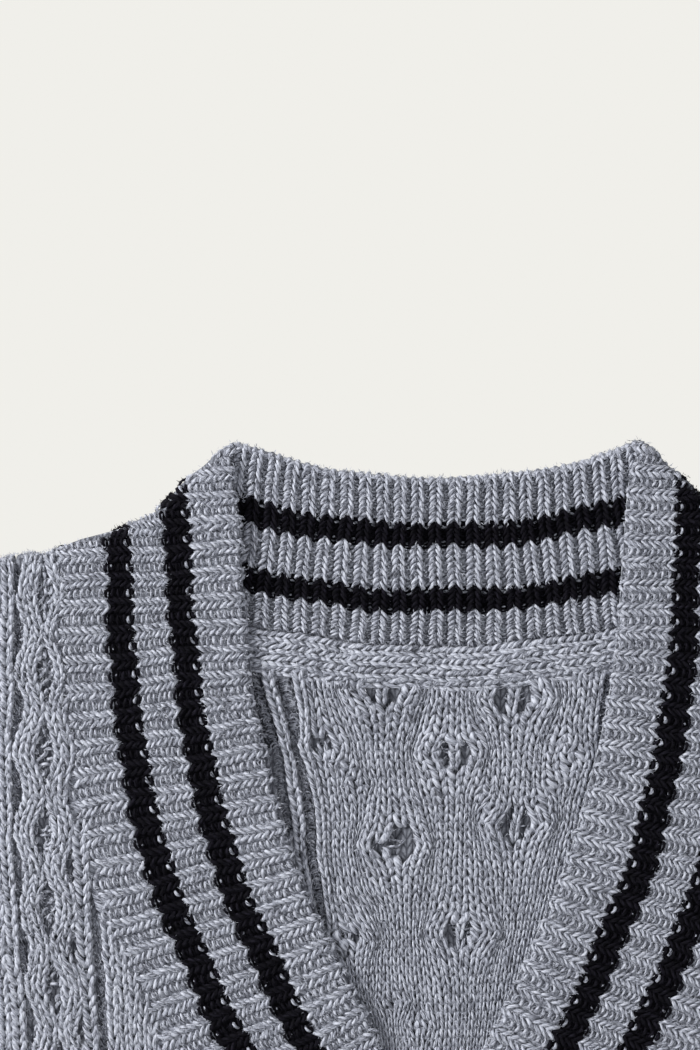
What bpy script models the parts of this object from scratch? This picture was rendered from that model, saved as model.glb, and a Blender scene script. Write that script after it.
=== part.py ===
"""Sweater vest dress in chunky knit, laid flat and face up.

+Z is up, +Y runs from the hem to the neck, and +X is to the right of someone who looks down
on the dress. Its tables and named sizes are in millimetres; MM turns them into metres.
"""

import math

import bmesh
import bpy
import numpy as np
from mathutils.geometry import delaunay_2d_cdt

MM = 0.001

# Walls and the way they lie on each other
GAP = 0.3  # between two pieces that are linked or lie on each other
PANEL_WALL = 4.5  # plain knit
RIB_WALL = 4.4  # rib, at the bottom of its furrows
RIB_RISE = 1.8  # crest of a rib over its furrow
FRONT_REST = PANEL_WALL + GAP  # height at which the front layer rests on the back one
LEAST_EDGE = 0.9  # wall left at a rounded fold edge
FOLD_ROUND = 7.0  # reach of the rounding at a fold
RIM_ROUND = 2.5  # reach of the rounding at a seam or a free edge
RIM_DROP = 0.9
UNDER_ROUND = 4.0  # the underside's rounding at folds and free edges
UNDER_RISE = 1.8

# The neck. The free edge of the V, left and right of the middle line, from the neck down.
V_EDGE = (  # height, left, right
    (440.0, 90.0, 90.0),
    (423.0, 89.0, 84.8),
    (406.0, 86.9, 83.2),
    (388.0, 86.0, 81.8),
    (353.0, 82.9, 79.2),
    (327.0, 80.1, 75.6),
    (291.0, 71.6, 67.6),
    (256.0, 62.0, 57.4),
    (217.0, 44.6, 41.2),
    (190.0, 30.9, 28.9),
    (172.0, 22.5, 20.7),
)
V_POINT = (1.0, 128.0)
MITRE_FOOT = (5.0, -6.0)
NECK_SEAM = (  # height, out from the middle: where the band is linked to the front
    (392.4, 167.0),
    (382.0, 166.0),
    (354.0, 165.6),
    (330.0, 163.6),
    (307.0, 161.4),
    (281.0, 158.6),
    (257.0, 153.2),
    (232.0, 145.6),
    (209.0, 135.4),
    (179.0, 123.0),
    (140.0, 104.0),
    (100.0, 80.5),
    (60.0, 53.5),
    (25.0, 27.0),
)
SHOULDER = (  # out from the middle, height: the fold over the shoulder
    (90.0, 440.0),
    (96.0, 436.3),
    (104.0, 428.4),
    (111.0, 423.4),
    (117.0, 416.3),
    (121.5, 410.8),
    (128.0, 407.4),
    (135.0, 404.7),
    (142.0, 400.8),
    (154.0, 398.3),
    (162.0, 395.6),
    (167.0, 392.4),
    (171.0, 390.4),
    (179.0, 390.0),
    (192.0, 387.4),
    (204.0, 383.5),
    (229.0, 375.5),
)
AT_BAND = 11  # the row where the band ends at the fold
AT_ARMHOLE = 15  # the row where the armhole band starts
BACK_EDGE = (  # out, height: free edge of the band behind the neck
    (0.0, 424.2),
    (20.0, 424.2),
    (46.0, 427.2),
    (62.0, 431.0),
    (76.0, 435.2),
    (90.0, 440.0),
)
BACK_SEAM = (  # out, height: where the band is linked to the back
    (0.0, 349.4),
    (20.0, 349.7),
    (51.0, 352.8),
    (80.0, 357.9),
    (110.0, 366.5),
    (140.0, 378.5),
    (167.0, 392.4),
)
BAND_CORNER = (167.0, 392.4)

# Armholes, sides and hem
ARMHOLE_EDGE = (  # out, height: free edge of the armhole band
    (229.0, 375.5),
    (224.5, 332.0),
    (222.0, 290.0),
    (224.0, 250.0),
    (233.0, 215.0),
    (254.0, 190.0),
)
ARMHOLE_SEAM = (  # out, height: where the armhole band is linked to the panels
    (204.0, 383.5),
    (199.5, 332.0),
    (197.5, 287.0),
    (200.0, 240.0),
    (213.0, 197.0),
    (256.0, 165.0),
)
SIDE = (  # out, height: the side fold, from the underarm to the hem rib
    (256.0, 165.0),
    (258.0, 60.0),
    (261.0, -120.0),
    (264.0, -370.0),
)
HEM_SEAM = -370.0
HEM_EDGE = -440.0
HEM_FOOT = 258.0  # half width at the free edge of the hem

# Ribs and cables
BAND_PITCH = {-1: 11.2, 1: 10.2}  # rib repeat on the left and the right of the V
BACK_RIBS = 23  # ribs of the band that show behind the neck
BACK_FAN = 100.0  # the last of them meets the back seam this far out
SIDE_ROWS = 14  # plain rows of the band behind each shoulder
HEM_RIBS = 46
ARMHOLE_RIBS = 22
RIB_SECTION = ((0.0, 0.0), (0.17, 0.86), (0.5, 1.0), (0.83, 0.86))  # share, rise
RIB_TILT = (  # height of the rib's inner end, degrees down towards its outer end
    (-10.0, 41.0),
    (141.0, 38.0),
    (195.0, 25.0),
    (261.0, 15.0),
    (305.0, 8.0),
    (371.0, 3.0),
    (425.0, 3.0),
    (440.0, 8.0),
)
CABLE_OUT = 172.3  # middle of the chain cable, out from the middle line
CABLE_PITCH = 34.75
CABLE_EYE = 236.5  # height of the middle of one of its hollows
CABLE_OPEN = 8.4  # from the cable's middle to the middle of a strand, at a hollow
CABLE_SHUT = 4.5  # and where the strands cross
STRAND_HALF = 4.2
STRAND_RISE = 1.8
CABLE_ROWS = 5  # sections in one repeat

# Inside of the back, seen through the V
SEAM_RIDGE = 15.0  # width of the raised linking seam below the back of the band
SEAM_RISE = 1.4
DIAMOND_HALF = (7.0, 10.0)
DIAMOND_SINK = 1.2
DIAMONDS = (  # x, y of the small sunken purl diamonds
    (-23.5, 326.7),
    (35.0, 325.0),
    (6.4, 303.8),
    (57.0, 303.0),
    (-38.5, 296.0),
    (20.0, 284.5),
    (-19.6, 268.5),
    (35.0, 272.5),
    (10.3, 225.5),
    (-34.0, 231.0),
)

NECK_CLEAR = 85.0  # the front layer covers the back one further out than this
NECK_FADE = 7.0
RIDGE_REACH = 95.0

# How finely the panels are drawn
SEAM_STEP = 15.0
SIDE_STEP = 45.0
HEM_STEPS = 11
FRONT_GRID = 60.0
BACK_GRID = 120.0
GRID_CLEAR = 14.0  # the grid's points keep this far from the outline
LINE_CLEAR = 2.2  # and the lines of the relief this far
POINT_CLEAR = 1.6
FIRST_ROW = 1.6  # the band's first rib row above the foot of the mitre
LAST_ROW = 1.2  # and its last one below the neck's high point
TIP_SHARE = 0.94

# Slow swells of the front layer where the cloth isn't pressed flat
V_SWELL = 1.4  # at the free edge of the V
V_SWELL_REACH = 45.0
FOLD_FADE = 30.0  # the front layer comes down to the back one this near a fold
SWELLS = (  # x, y, reach across, reach along, rise
    (-95.0, -60.0, 60.0, 120.0, 1.3),
    (80.0, -190.0, 55.0, 110.0, 1.5),
    (-120.0, -290.0, 70.0, 45.0, 1.2),
    (175.0, 40.0, 40.0, 90.0, 1.1),
    (-185.0, 90.0, 35.0, 70.0, 0.9),
)

GREY = (0.262, 0.287, 0.331, 1.0)  # heathered blue grey yarn
ROUGHNESS = 0.92


# --- Curves -------------------------------------------------------------------------------


def smooth(points, step):
    """Points about step apart on the curve that runs evenly through the given ones."""
    knots = np.array(points, float)
    at = np.concatenate([[0.0], np.cumsum(np.linalg.norm(np.diff(knots, axis=0), axis=1))])
    slope = np.gradient(knots, at, axis=0)
    s = np.linspace(0.0, at[-1], max(2, math.ceil(at[-1] / step) + 1))
    i = np.clip(np.searchsorted(at, s, side="right") - 1, 0, len(at) - 2)
    span = (at[i + 1] - at[i])[:, None]
    t = (s - at[i])[:, None] / span
    start = (1 + 2 * t) * (1 - t) ** 2 * knots[i] + t * (1 - t) ** 2 * span * slope[i]
    end = t * t * (3 - 2 * t) * knots[i + 1] + t * t * (t - 1) * span * slope[i + 1]
    return start + end


def at_steps(line, count):
    """count + 1 points evenly spaced along a line."""
    along = np.concatenate([[0.0], np.cumsum(np.linalg.norm(np.diff(line, axis=0), axis=1))])
    s = np.linspace(0.0, along[-1], count + 1)
    return np.stack([np.interp(s, along, line[:, k]) for k in range(2)], axis=1)


def away_from(points, line):
    """Distance of each point from a line of points."""
    p = np.asarray(points, float)[:, None, :]
    a = line[None, :-1]
    d = line[None, 1:] - a
    t = np.clip(((p - a) * d).sum(2) / np.maximum((d * d).sum(2), 1e-9), 0.0, 1.0)
    return np.linalg.norm(p - a - t[..., None] * d, axis=2).min(axis=1)


def outward(line, side, by):
    """The line moved by a distance to its left (side 1) or its right (side -1)."""
    along = np.gradient(line, axis=0)
    along /= np.linalg.norm(along, axis=1)[:, None]
    return line + side * by * np.stack([-along[:, 1], along[:, 0]], axis=1)


def mirrored(table, side):
    """A table of out and height as points on the left (-1) or the right (1)."""
    return [(side * out, height) for out, height in table]


def v_edge(side, step):
    """The free edge of the V on one side, from its point up to the neck."""
    column = {-1: 1, 1: 2}[side]
    rows = [(side * row[column], row[0]) for row in reversed(V_EDGE)]
    return smooth([V_POINT, *rows], step)


def neck_seam(side, step):
    """The seam between band and front on one side, from the foot of the mitre up."""
    rows = [(side * out, height) for height, out in reversed(NECK_SEAM)]
    return smooth([MITRE_FOOT, *rows], step)


def back_seam(step):
    """The seam between band and back, from left to right."""
    return smooth(mirrored(BACK_SEAM[::-1], -1) + mirrored(BACK_SEAM[1:], 1), step)


def shoulder(side, first, last, step):
    """The shoulder fold between two rows of its table, outwards."""
    whole = smooth(mirrored(SHOULDER, side), 1.0)
    out = np.abs(whole[:, 0])
    kept = whole[(out >= SHOULDER[first][0] - 0.01) & (out <= SHOULDER[last][0] + 0.01)]
    return at_steps(kept, max(1, round(len(kept) / step)))


FOLDS = [
    smooth(mirrored(table, side), 8.0) for table in (SHOULDER, SIDE) for side in (-1, 1)
]
HEM_FOLDS = [
    np.array([(side * SIDE[-1][0], HEM_SEAM), (side * HEM_FOOT, HEM_EDGE)]) for side in (-1, 1)
]
UNDERARM_FOLDS = [
    np.array([(side * ARMHOLE_EDGE[-1][0], ARMHOLE_EDGE[-1][1]), (side * SIDE[0][0], SIDE[0][1])])
    for side in (-1, 1)
]
ALL_FOLDS = FOLDS + HEM_FOLDS + UNDERARM_FOLDS
V_EDGES = [v_edge(side, 6.0) for side in (-1, 1)]


# --- Heights ------------------------------------------------------------------------------


def nearest(points, lines):
    """Distance of each point from the nearest of several lines."""
    return np.min([away_from(points, line) for line in lines], axis=0)


def swell(points):
    """How far the front layer lies above the height at which it rests on the back."""
    p = np.asarray(points, float)
    rise = V_SWELL * np.exp(-((nearest(p, V_EDGES) / V_SWELL_REACH) ** 2))
    for x, y, across, along, height in SWELLS:
        rise += height * np.exp(-(((p[:, 0] - x) / across) ** 2) - ((p[:, 1] - y) / along) ** 2)
    t = np.clip(nearest(p, ALL_FOLDS) / FOLD_FADE, 0.0, 1.0)
    return rise * t * t * (3 - 2 * t)


def rounded(distance, reach):
    """0 to 1: how far a quarter round has come down, this far inside its edge."""
    inside = np.clip(1.0 - distance / reach, 0.0, 1.0)
    return 1.0 - np.sqrt(1.0 - inside * inside)


def over(points, base, wall, relief, rims):
    """Upper side of a wall: base and wall, with relief, rounded at folds and rims."""
    fold = rounded(nearest(points, ALL_FOLDS), FOLD_ROUND)
    rim = RIM_DROP * rounded(nearest(points, rims), RIM_ROUND)
    full = np.maximum(wall + relief * (1.0 - fold) - rim, LEAST_EDGE)
    return base + full + (LEAST_EDGE - full) * fold


def under_front(points):
    """Lower side of the front layer."""
    return FRONT_REST + swell(points)


def under_back(points):
    """Lower side of the back layer: flat, but rounded up at the folds."""
    return UNDER_RISE * rounded(nearest(points, ALL_FOLDS), UNDER_ROUND)


def shows_in_neck(points):
    """1 inside the neck, 0 where the front layer lies over the back one."""
    out = np.abs(np.asarray(points, float)[:, 0])
    t = np.clip((NECK_CLEAR - out) / NECK_FADE, 0.0, 1.0)
    return t * t * (3 - 2 * t)


# --- Building -----------------------------------------------------------------------------


def new_object(name, bm):
    """Makes a closed body of a bmesh in millimetres, with its own material."""
    bmesh.ops.triangulate(bm, faces=[f for f in bm.faces if len(f.verts) > 4])
    bmesh.ops.recalc_face_normals(bm, faces=bm.faces)
    mesh = bpy.data.meshes.new(name)
    bm.to_mesh(mesh)
    bm.free()
    mesh.shade_smooth()
    mesh.set_sharp_from_angle(angle=math.radians(50))
    mat = bpy.data.materials.new(name + "_knit")
    mat.use_nodes = True
    shader = mat.node_tree.nodes["Principled BSDF"]
    shader.inputs["Base Color"].default_value = GREY
    shader.inputs["Roughness"].default_value = ROUGHNESS
    shader.inputs["Metallic"].default_value = 0.0
    mesh.materials.append(mat)
    obj = bpy.data.objects.new(name, mesh)
    collection.objects.link(obj)
    obj.parent = dress
    return obj


def spread(row_start, row_end, columns):
    """Points along one row. A column is a distance from its start, or, if below 0, its end."""
    length = np.linalg.norm(row_end - row_start)
    reach = max([c for c in columns if c >= 0]) + max([-c for c in columns if c < 0] + [0])
    fit = min(1.0, 0.8 * length / max(reach, 1e-6))
    at = [c * fit if c >= 0 else length + c * fit for c in columns] + [length]
    return [row_start + (row_end - row_start) * (a / length) for a in at]


def rib_band(name, rows, columns, under, base, wall, relief, rims):
    """A rib strip lofted through its rows. A row is start, end and the rib's rise there."""
    upper, lower = [], []
    bm = bmesh.new()
    for start, end, rise in rows:
        top = np.array(spread(start, end, columns))
        low = np.array(spread(start, end, under))
        high = over(top, base(top), wall, relief(top) * rise, rims)
        upper.append([bm.verts.new((x * MM, y * MM, z * MM)) for (x, y), z in zip(top, high)])
        lower.append([bm.verts.new((x * MM, y * MM, z * MM)) for (x, y), z in zip(low, base(low))])
    for k in range(len(rows) - 1):
        for grid in (upper, lower):
            for j in range(len(grid[k]) - 1):
                bm.faces.new((grid[k][j], grid[k][j + 1], grid[k + 1][j + 1], grid[k + 1][j]))
        for j in (0, -1):
            bm.faces.new((upper[k][j], upper[k + 1][j], lower[k + 1][j], lower[k][j]))
    for k in (0, -1):
        bm.faces.new(upper[k] + lower[k][::-1])
    return new_object(name, bm)


def inset(outline, by):
    """A closed outline, anticlockwise, moved inwards."""
    before = np.roll(outline, 1, axis=0)
    after = np.roll(outline, -1, axis=0)
    ahead = after - outline
    behind = outline - before
    ahead /= np.linalg.norm(ahead, axis=1)[:, None]
    behind /= np.linalg.norm(behind, axis=1)[:, None]
    normal = np.stack([-(ahead + behind)[:, 1], (ahead + behind)[:, 0]], axis=1)
    size = np.linalg.norm(normal, axis=1)[:, None]
    return outline + normal / size * by / np.maximum(size / 2, 0.6)


def inside(points, outline):
    """Whether each point lies inside a closed outline."""
    x, y = points[:, 0][:, None], points[:, 1][:, None]
    a, b = outline, np.roll(outline, -1, axis=0)
    spans = (a[:, 1] > y) != (b[:, 1] > y)
    cross = a[:, 0] + (y - a[:, 1]) * (b[:, 0] - a[:, 0]) / (b[:, 1] - a[:, 1] + 1e-12)
    return (spans & (x < cross)).sum(axis=1) % 2 == 1


def triangles(outline, loose, lines):
    """Points and triangles inside an outline, through loose points and along lines."""
    points = [*outline]
    edges = []
    for line in lines:
        keep = inside(line, outline) & (away_from(line, closed(outline)) > LINE_CLEAR)
        before = None
        for ok, p in zip(keep, line):
            if ok:
                points.append(p)
                if before is not None:
                    edges.append((before, len(points) - 1))
            before = len(points) - 1 if ok else None
    taken = np.array(points)
    if len(loose):
        loose = np.asarray(loose, float)
        keep = inside(loose, outline)
        for p in loose[keep]:
            if np.linalg.norm(taken - p, axis=1).min() > POINT_CLEAR:
                points.append(p)
    face = [list(range(len(outline)))]
    found = delaunay_2d_cdt([tuple(p) for p in points], edges, face, 1, 1e-5)
    return np.array([tuple(v) for v in found[0]]), found[2], found[3]


def panel(name, outline, upper_points, upper_lines, lower_points, top, bottom):
    """A knitted panel: an outline with an upper and a lower side of their own points."""
    bm = bmesh.new()
    rims = []
    for loose, lines, height, flip in (
        (upper_points, upper_lines, top, False),
        (lower_points, [], bottom, True),
    ):
        at, faces, origin = triangles(outline, loose, lines)
        z = height(at)
        verts = [bm.verts.new((x * MM, y * MM, h * MM)) for (x, y), h in zip(at, z)]
        for face in faces:
            bm.faces.new([verts[i] for i in (reversed(face) if flip else face)])
        rim = [None] * len(outline)
        for i, sources in enumerate(origin):
            for source in sources:
                if source < len(outline):
                    rim[source] = verts[i]
        rims.append(rim)
    for i in range(len(outline)):
        j = (i + 1) % len(outline)
        bm.faces.new((rims[0][i], rims[1][i], rims[1][j], rims[0][j]))
    return new_object(name, bm)


def closed(outline):
    """The outline as a line that ends where it starts."""
    return np.vstack([outline, outline[:1]])


def grid_points(step, outline):
    """Loose points over a panel, well inside its outline."""
    across = np.arange(-240.0, 241.0, step)
    along = np.arange(-360.0, 400.0, step)
    points = np.stack(np.meshgrid(across, along), axis=-1).reshape(-1, 2)
    return points[inside(points, outline) & (away_from(points, closed(outline)) > GRID_CLEAR)]


def joined(*lines):
    """Lines laid end to end, without the points they share."""
    points = [lines[0]]
    for line in lines[1:]:
        points.append(line[1:])
    return np.vstack(points)


# --- Panels -------------------------------------------------------------------------------


def body_outline(neckline):
    """Outline of a panel, anticlockwise, from a neckline that runs from left to right."""
    flanks = []
    for side in (1, -1):
        tip = shoulder(side, AT_BAND, AT_ARMHOLE, SEAM_STEP)
        armhole = at_steps(smooth(mirrored(ARMHOLE_SEAM, side), 2.0), ARMHOLE_RIBS)
        flank = smooth(mirrored(SIDE, side), SIDE_STEP)
        flanks.append(joined(tip, armhole, flank))
    hem = at_steps(np.array([flanks[0][-1], flanks[1][-1]]), HEM_STEPS)
    ring = joined(neckline, flanks[0], hem, flanks[1][::-1])[:-1][::-1]
    moved = inset(ring, GAP / 2)
    at_fold = nearest(ring, FOLDS) < 0.01
    moved[at_fold] = ring[at_fold]
    return moved


def cable_lines():
    """Lines along both chain cables: edges and crests of their two strands."""
    lines = []
    step = CABLE_PITCH / CABLE_ROWS
    first = math.ceil((HEM_SEAM - CABLE_EYE + 4.0) / step)
    heights = CABLE_EYE + step * np.arange(first, math.ceil((SHOULDER[AT_BAND][1] - CABLE_EYE) / step))
    strand = strand_out(heights)
    inner = np.maximum(strand - STRAND_HALF, 0.5)
    for side in (-1, 1):
        for way in (-1, 1):
            for off in (strand + STRAND_HALF, strand, inner):
                lines.append(np.stack([side * CABLE_OUT + way * off, heights], axis=1))
    return lines


def strand_out(height):
    """Distance of a strand's middle from the cable's middle."""
    turn = 0.5 + 0.5 * np.cos(2 * math.pi * (height - CABLE_EYE) / CABLE_PITCH)
    return CABLE_SHUT + (CABLE_OPEN - CABLE_SHUT) * turn


def cable_rise(points):
    """Height of the chain cables over the plain front."""
    off = np.abs(np.abs(points[:, 0]) - CABLE_OUT)
    across = (off - strand_out(points[:, 1])) / STRAND_HALF
    return STRAND_RISE * np.clip(1.0 - across * across, 0.0, 1.0) ** 0.8


def seam_rise(points):
    """Raised linking seam and sunken diamonds on the inside of the back."""
    t = np.clip(away_from(points, back_seam(8.0)) / SEAM_RIDGE, 0.0, 1.0)
    ridge = SEAM_RISE * np.sin(math.pi * t) ** 0.6 * shows_in_neck(points)
    sunk = np.zeros(len(points))
    for x, y in DIAMONDS:
        off = np.abs(points[:, 0] - x) / DIAMOND_HALF[0] + np.abs(points[:, 1] - y) / DIAMOND_HALF[1]
        sunk = np.maximum(sunk, DIAMOND_SINK * np.clip((1.0 - off) * 2.0, 0.0, 1.0))
    return ridge - sunk


def front_panel():
    """The front, with its V neckline and a chain cable down each side."""
    neckline = joined(neck_seam(-1, SEAM_STEP)[::-1], neck_seam(1, SEAM_STEP))
    outline = body_outline(neckline)
    rims = [closed(outline)]
    rings = [closed(inset(outline, by)) for by in (RIM_ROUND, FOLD_ROUND)]
    loose = grid_points(FRONT_GRID, outline)
    return panel(
        "front_panel",
        outline,
        loose,
        rings + cable_lines(),
        loose,
        lambda p: over(p, under_front(p), PANEL_WALL, cable_rise(p), rims),
        under_front,
    )


def back_panel():
    """The back, with the raised seam and the sunken diamonds of its inside."""
    neckline = back_seam(SEAM_STEP)
    outline = body_outline(neckline)
    rims = [closed(outline)]
    rings = [closed(inset(outline, UNDER_ROUND))]
    ridge = [outward(neckline, -1, SEAM_RIDGE * share) for share in (0.25, 0.5, 0.75, 1.0)]
    diamonds = []
    for x, y in DIAMONDS:
        for share in (0.5, 1.0):
            w, h = DIAMOND_HALF[0] * share, DIAMOND_HALF[1] * share
            diamonds.append(np.array([(x - w, y), (x, y - h), (x + w, y), (x, y + h), (x - w, y)]))
    return panel(
        "back_panel",
        outline,
        grid_points(BACK_GRID, outline),
        rings + [line[np.abs(line[:, 0]) < RIDGE_REACH] for line in ridge] + diamonds,
        rings[0],
        lambda p: over(p, under_back(p), PANEL_WALL, seam_rise(p), rims),
        under_back,
    )


# --- Neckband -----------------------------------------------------------------------------


def first_hit(start, way, line):
    """Where a ray first meets a line of points."""
    a, d = line[:-1], np.diff(line, axis=0)
    det = way[0] * d[:, 1] - way[1] * d[:, 0]
    det = np.where(np.abs(det) < 1e-12, 1e-12, det)
    off = a - start
    far = (off[:, 0] * d[:, 1] - off[:, 1] * d[:, 0]) / det
    along = (off[:, 0] * way[1] - off[:, 1] * way[0]) / det
    good = (far > 0.2) & (along >= -0.001) & (along <= 1.001)
    return start + way * far[good].min()


def neckband_front(side):
    """One side of the V: rib rows from its free edge, or the mitre, out to seam or fold."""
    inner = np.vstack([np.array([MITRE_FOOT]), v_edge(side, 2.0)])
    inner[:, 0] += side * GAP / 2 * (inner[:, 1] <= V_POINT[1])
    fold = shoulder(side, 0, AT_BAND, 4.0)
    seam = neck_seam(side, 4.0)
    outer = joined(seam, fold[::-1])
    along = np.concatenate([[0.0], np.cumsum(np.linalg.norm(np.diff(inner, axis=0), axis=1))])
    heights = [row[0] for row in RIB_TILT]
    tilts = [row[1] for row in RIB_TILT]
    rows = []
    at = FIRST_ROW
    shares = [share for share, rise in RIB_SECTION] + [1.0]
    while at < along[-1] - LAST_ROW:
        start = np.array([np.interp(at, along, inner[:, k]) for k in range(2)])
        tilt = math.radians(np.interp(start[1], heights, tilts))
        way = np.array([side * math.cos(tilt), -math.sin(tilt)])
        k = len(rows) % len(RIB_SECTION)
        end = first_hit(start, way, outer) - way * GAP
        rows.append((start, end, RIB_SECTION[k][1]))
        step = BAND_PITCH[side] * (shares[k + 1] - shares[k])
        ahead = np.array([np.interp(at + step, along, inner[:, j]) for j in range(2)]) - start
        slip = abs(ahead[0] * way[1] - ahead[1] * way[0]) / np.linalg.norm(ahead)
        at += step / max(slip, 0.5)
    rims = [v_edge(side, 4.0), seam]
    return rib_band(
        {-1: "neckband_front_left", 1: "neckband_front_right"}[side],
        rows,
        (0.0, RIM_ROUND, -FOLD_ROUND, -RIM_ROUND),
        (0.0,),
        under_front,
        RIB_WALL,
        lambda p: RIB_RISE,
        rims,
    )


def neckband_back():
    """The band behind the neck: upright rows from the back seam to its free edge."""
    seam = back_seam(2.0)
    edge = smooth(mirrored(BACK_EDGE[::-1], -1) + mirrored(BACK_EDGE[1:], 1), 2.0)
    rows = []
    for rib in range(BACK_RIBS):
        for share, rise in RIB_SECTION:
            at = 2.0 * (rib + share) / BACK_RIBS - 1.0
            rows.append((BACK_FAN * at, BACK_EDGE[-1][0] * at, rise))
    rows.append((BACK_FAN, BACK_EDGE[-1][0], 0.0))
    middle = []
    for low, high, rise in rows:
        start = np.array([low, np.interp(low, seam[:, 0], seam[:, 1])])
        end = np.array([high, np.interp(high, edge[:, 0], edge[:, 1])])
        middle.append((start + (end - start) / np.linalg.norm(end - start) * GAP, end, rise))
    wings = {}
    for side in (-1, 1):
        fold = at_steps(shoulder(side, 0, AT_BAND, 4.0), SIDE_ROWS)
        lows = np.linspace(BACK_FAN, BAND_CORNER[0], SIDE_ROWS + 1)
        wing = []
        for k in range(1, SIDE_ROWS):
            low = side * lows[k]
            start = np.array([low, np.interp(low, seam[:, 0], seam[:, 1])])
            start += (fold[k] - start) / np.linalg.norm(fold[k] - start) * GAP
            wing.append((start, fold[k], 0.0))
        corner = [(1 - TIP_SHARE) * p + TIP_SHARE * fold[-1] for p in wing[-1][:2]]
        wings[side] = [*wing, (*corner, 0.0)]
    rims = [edge, seam]
    return rib_band(
        "neckband_back",
        [*wings[-1][::-1], *middle, *wings[1]],
        (0.0, RIM_ROUND, -FOLD_ROUND, -RIM_ROUND),
        (0.0, -UNDER_ROUND),
        under_back,
        RIB_WALL,
        lambda p: RIB_RISE * shows_in_neck(p),
        rims,
    )


# --- Armhole bands and hem ----------------------------------------------------------------


def armhole_band(side, layer):
    """Half of an armhole band, from the shoulder fold down to the underarm."""
    front = layer == "front"
    count = ARMHOLE_RIBS * len(RIB_SECTION) if front else ARMHOLE_RIBS
    edge = at_steps(smooth(mirrored(ARMHOLE_EDGE, side), 2.0), count)
    seam = at_steps(smooth(mirrored(ARMHOLE_SEAM, side), 2.0), count)
    rows = []
    for k in range(count + 1):
        across = (edge[k] - seam[k]) / np.linalg.norm(edge[k] - seam[k])
        rise = RIB_SECTION[k % len(RIB_SECTION)][1] if front else 0.0
        rows.append((seam[k] + across * GAP, edge[k], rise))
    return rib_band(
        "armhole_band_" + {-1: "left_", 1: "right_"}[side] + layer,
        rows,
        (0.0, RIM_ROUND, -RIM_ROUND),
        (0.0,),
        under_front if front else under_back,
        RIB_WALL,
        lambda p: RIB_RISE,
        [edge, seam],
    )


def hem_rib(layer):
    """The rib along the hem of one panel."""
    front = layer == "front"
    count = HEM_RIBS * len(RIB_SECTION) if front else HEM_RIBS // 2
    seam_y = HEM_SEAM - GAP / 2
    rows = []
    for k in range(count + 1):
        share = 2.0 * k / count - 1.0
        if front:
            rib, part = divmod(k, len(RIB_SECTION))
            share = 2.0 * (rib + RIB_SECTION[part][0]) / HEM_RIBS - 1.0
        start = np.array([share * SIDE[-1][0], seam_y])
        end = np.array([share * HEM_FOOT, HEM_EDGE])
        rise = RIB_SECTION[k % len(RIB_SECTION)][1] if front else 0.0
        rows.append((start, end, rise))
    edge = np.array([rows[0][1], rows[-1][1]])
    seam = np.array([rows[0][0], rows[-1][0]])
    return rib_band(
        "hem_rib_" + layer,
        rows,
        (0.0, RIM_ROUND, -RIM_ROUND),
        (0.0,),
        under_front if front else under_back,
        RIB_WALL,
        lambda p: RIB_RISE,
        [edge, seam],
    )


for leftover in list(bpy.data.objects):
    bpy.data.objects.remove(leftover)
collection = bpy.data.collections.new("sweater_vest_dress")
bpy.context.scene.collection.children.link(collection)
dress = bpy.data.objects.new("dress", None)
collection.objects.link(dress)

back_panel()
front_panel()
neckband_back()
for hand in (-1, 1):
    neckband_front(hand)
    armhole_band(hand, "back")
    armhole_band(hand, "front")
hem_rib("back")
hem_rib("front")
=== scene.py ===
"""Looks of the sweater vest dress: knitted stitch by stitch over the frame's solids.

Tables and sizes are in millimetres, in the frame's axes: +Z up, +Y from the hem to the neck,
+X to the right of someone who looks down on the dress. MM turns them into metres.
"""

import math

import bmesh
import bpy
import numpy as np
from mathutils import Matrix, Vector


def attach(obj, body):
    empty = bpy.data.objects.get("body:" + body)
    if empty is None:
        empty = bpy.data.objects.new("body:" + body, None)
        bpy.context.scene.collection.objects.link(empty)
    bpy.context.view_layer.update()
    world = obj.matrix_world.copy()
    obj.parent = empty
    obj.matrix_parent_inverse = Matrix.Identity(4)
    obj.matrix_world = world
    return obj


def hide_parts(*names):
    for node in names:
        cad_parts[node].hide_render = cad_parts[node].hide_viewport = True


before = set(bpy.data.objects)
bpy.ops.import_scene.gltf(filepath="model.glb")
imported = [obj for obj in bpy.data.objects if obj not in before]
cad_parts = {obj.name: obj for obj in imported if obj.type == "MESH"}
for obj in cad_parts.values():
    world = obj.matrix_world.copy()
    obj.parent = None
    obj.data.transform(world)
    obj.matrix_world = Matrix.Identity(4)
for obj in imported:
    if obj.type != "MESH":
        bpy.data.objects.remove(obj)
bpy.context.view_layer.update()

MM = 0.001
rng = np.random.default_rng(7)
shape_rng = np.random.default_rng(11)

# --- Sizes repeated from the part's source ------------------------------------------------

PANEL_WALL = 4.5
RIB_WALL = 4.4
RIB_RISE = 1.8
RIB_TOP = RIB_WALL + 0.5 * RIB_RISE  # where the ribs' stitches lie
FRONT_REST = 4.8
LEAST_EDGE = 0.9
FOLD_ROUND = 7.0
RIM_ROUND = 2.5
RIM_DROP = 0.9
UNDER_ROUND = 4.0
UNDER_RISE = 1.8

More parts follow.
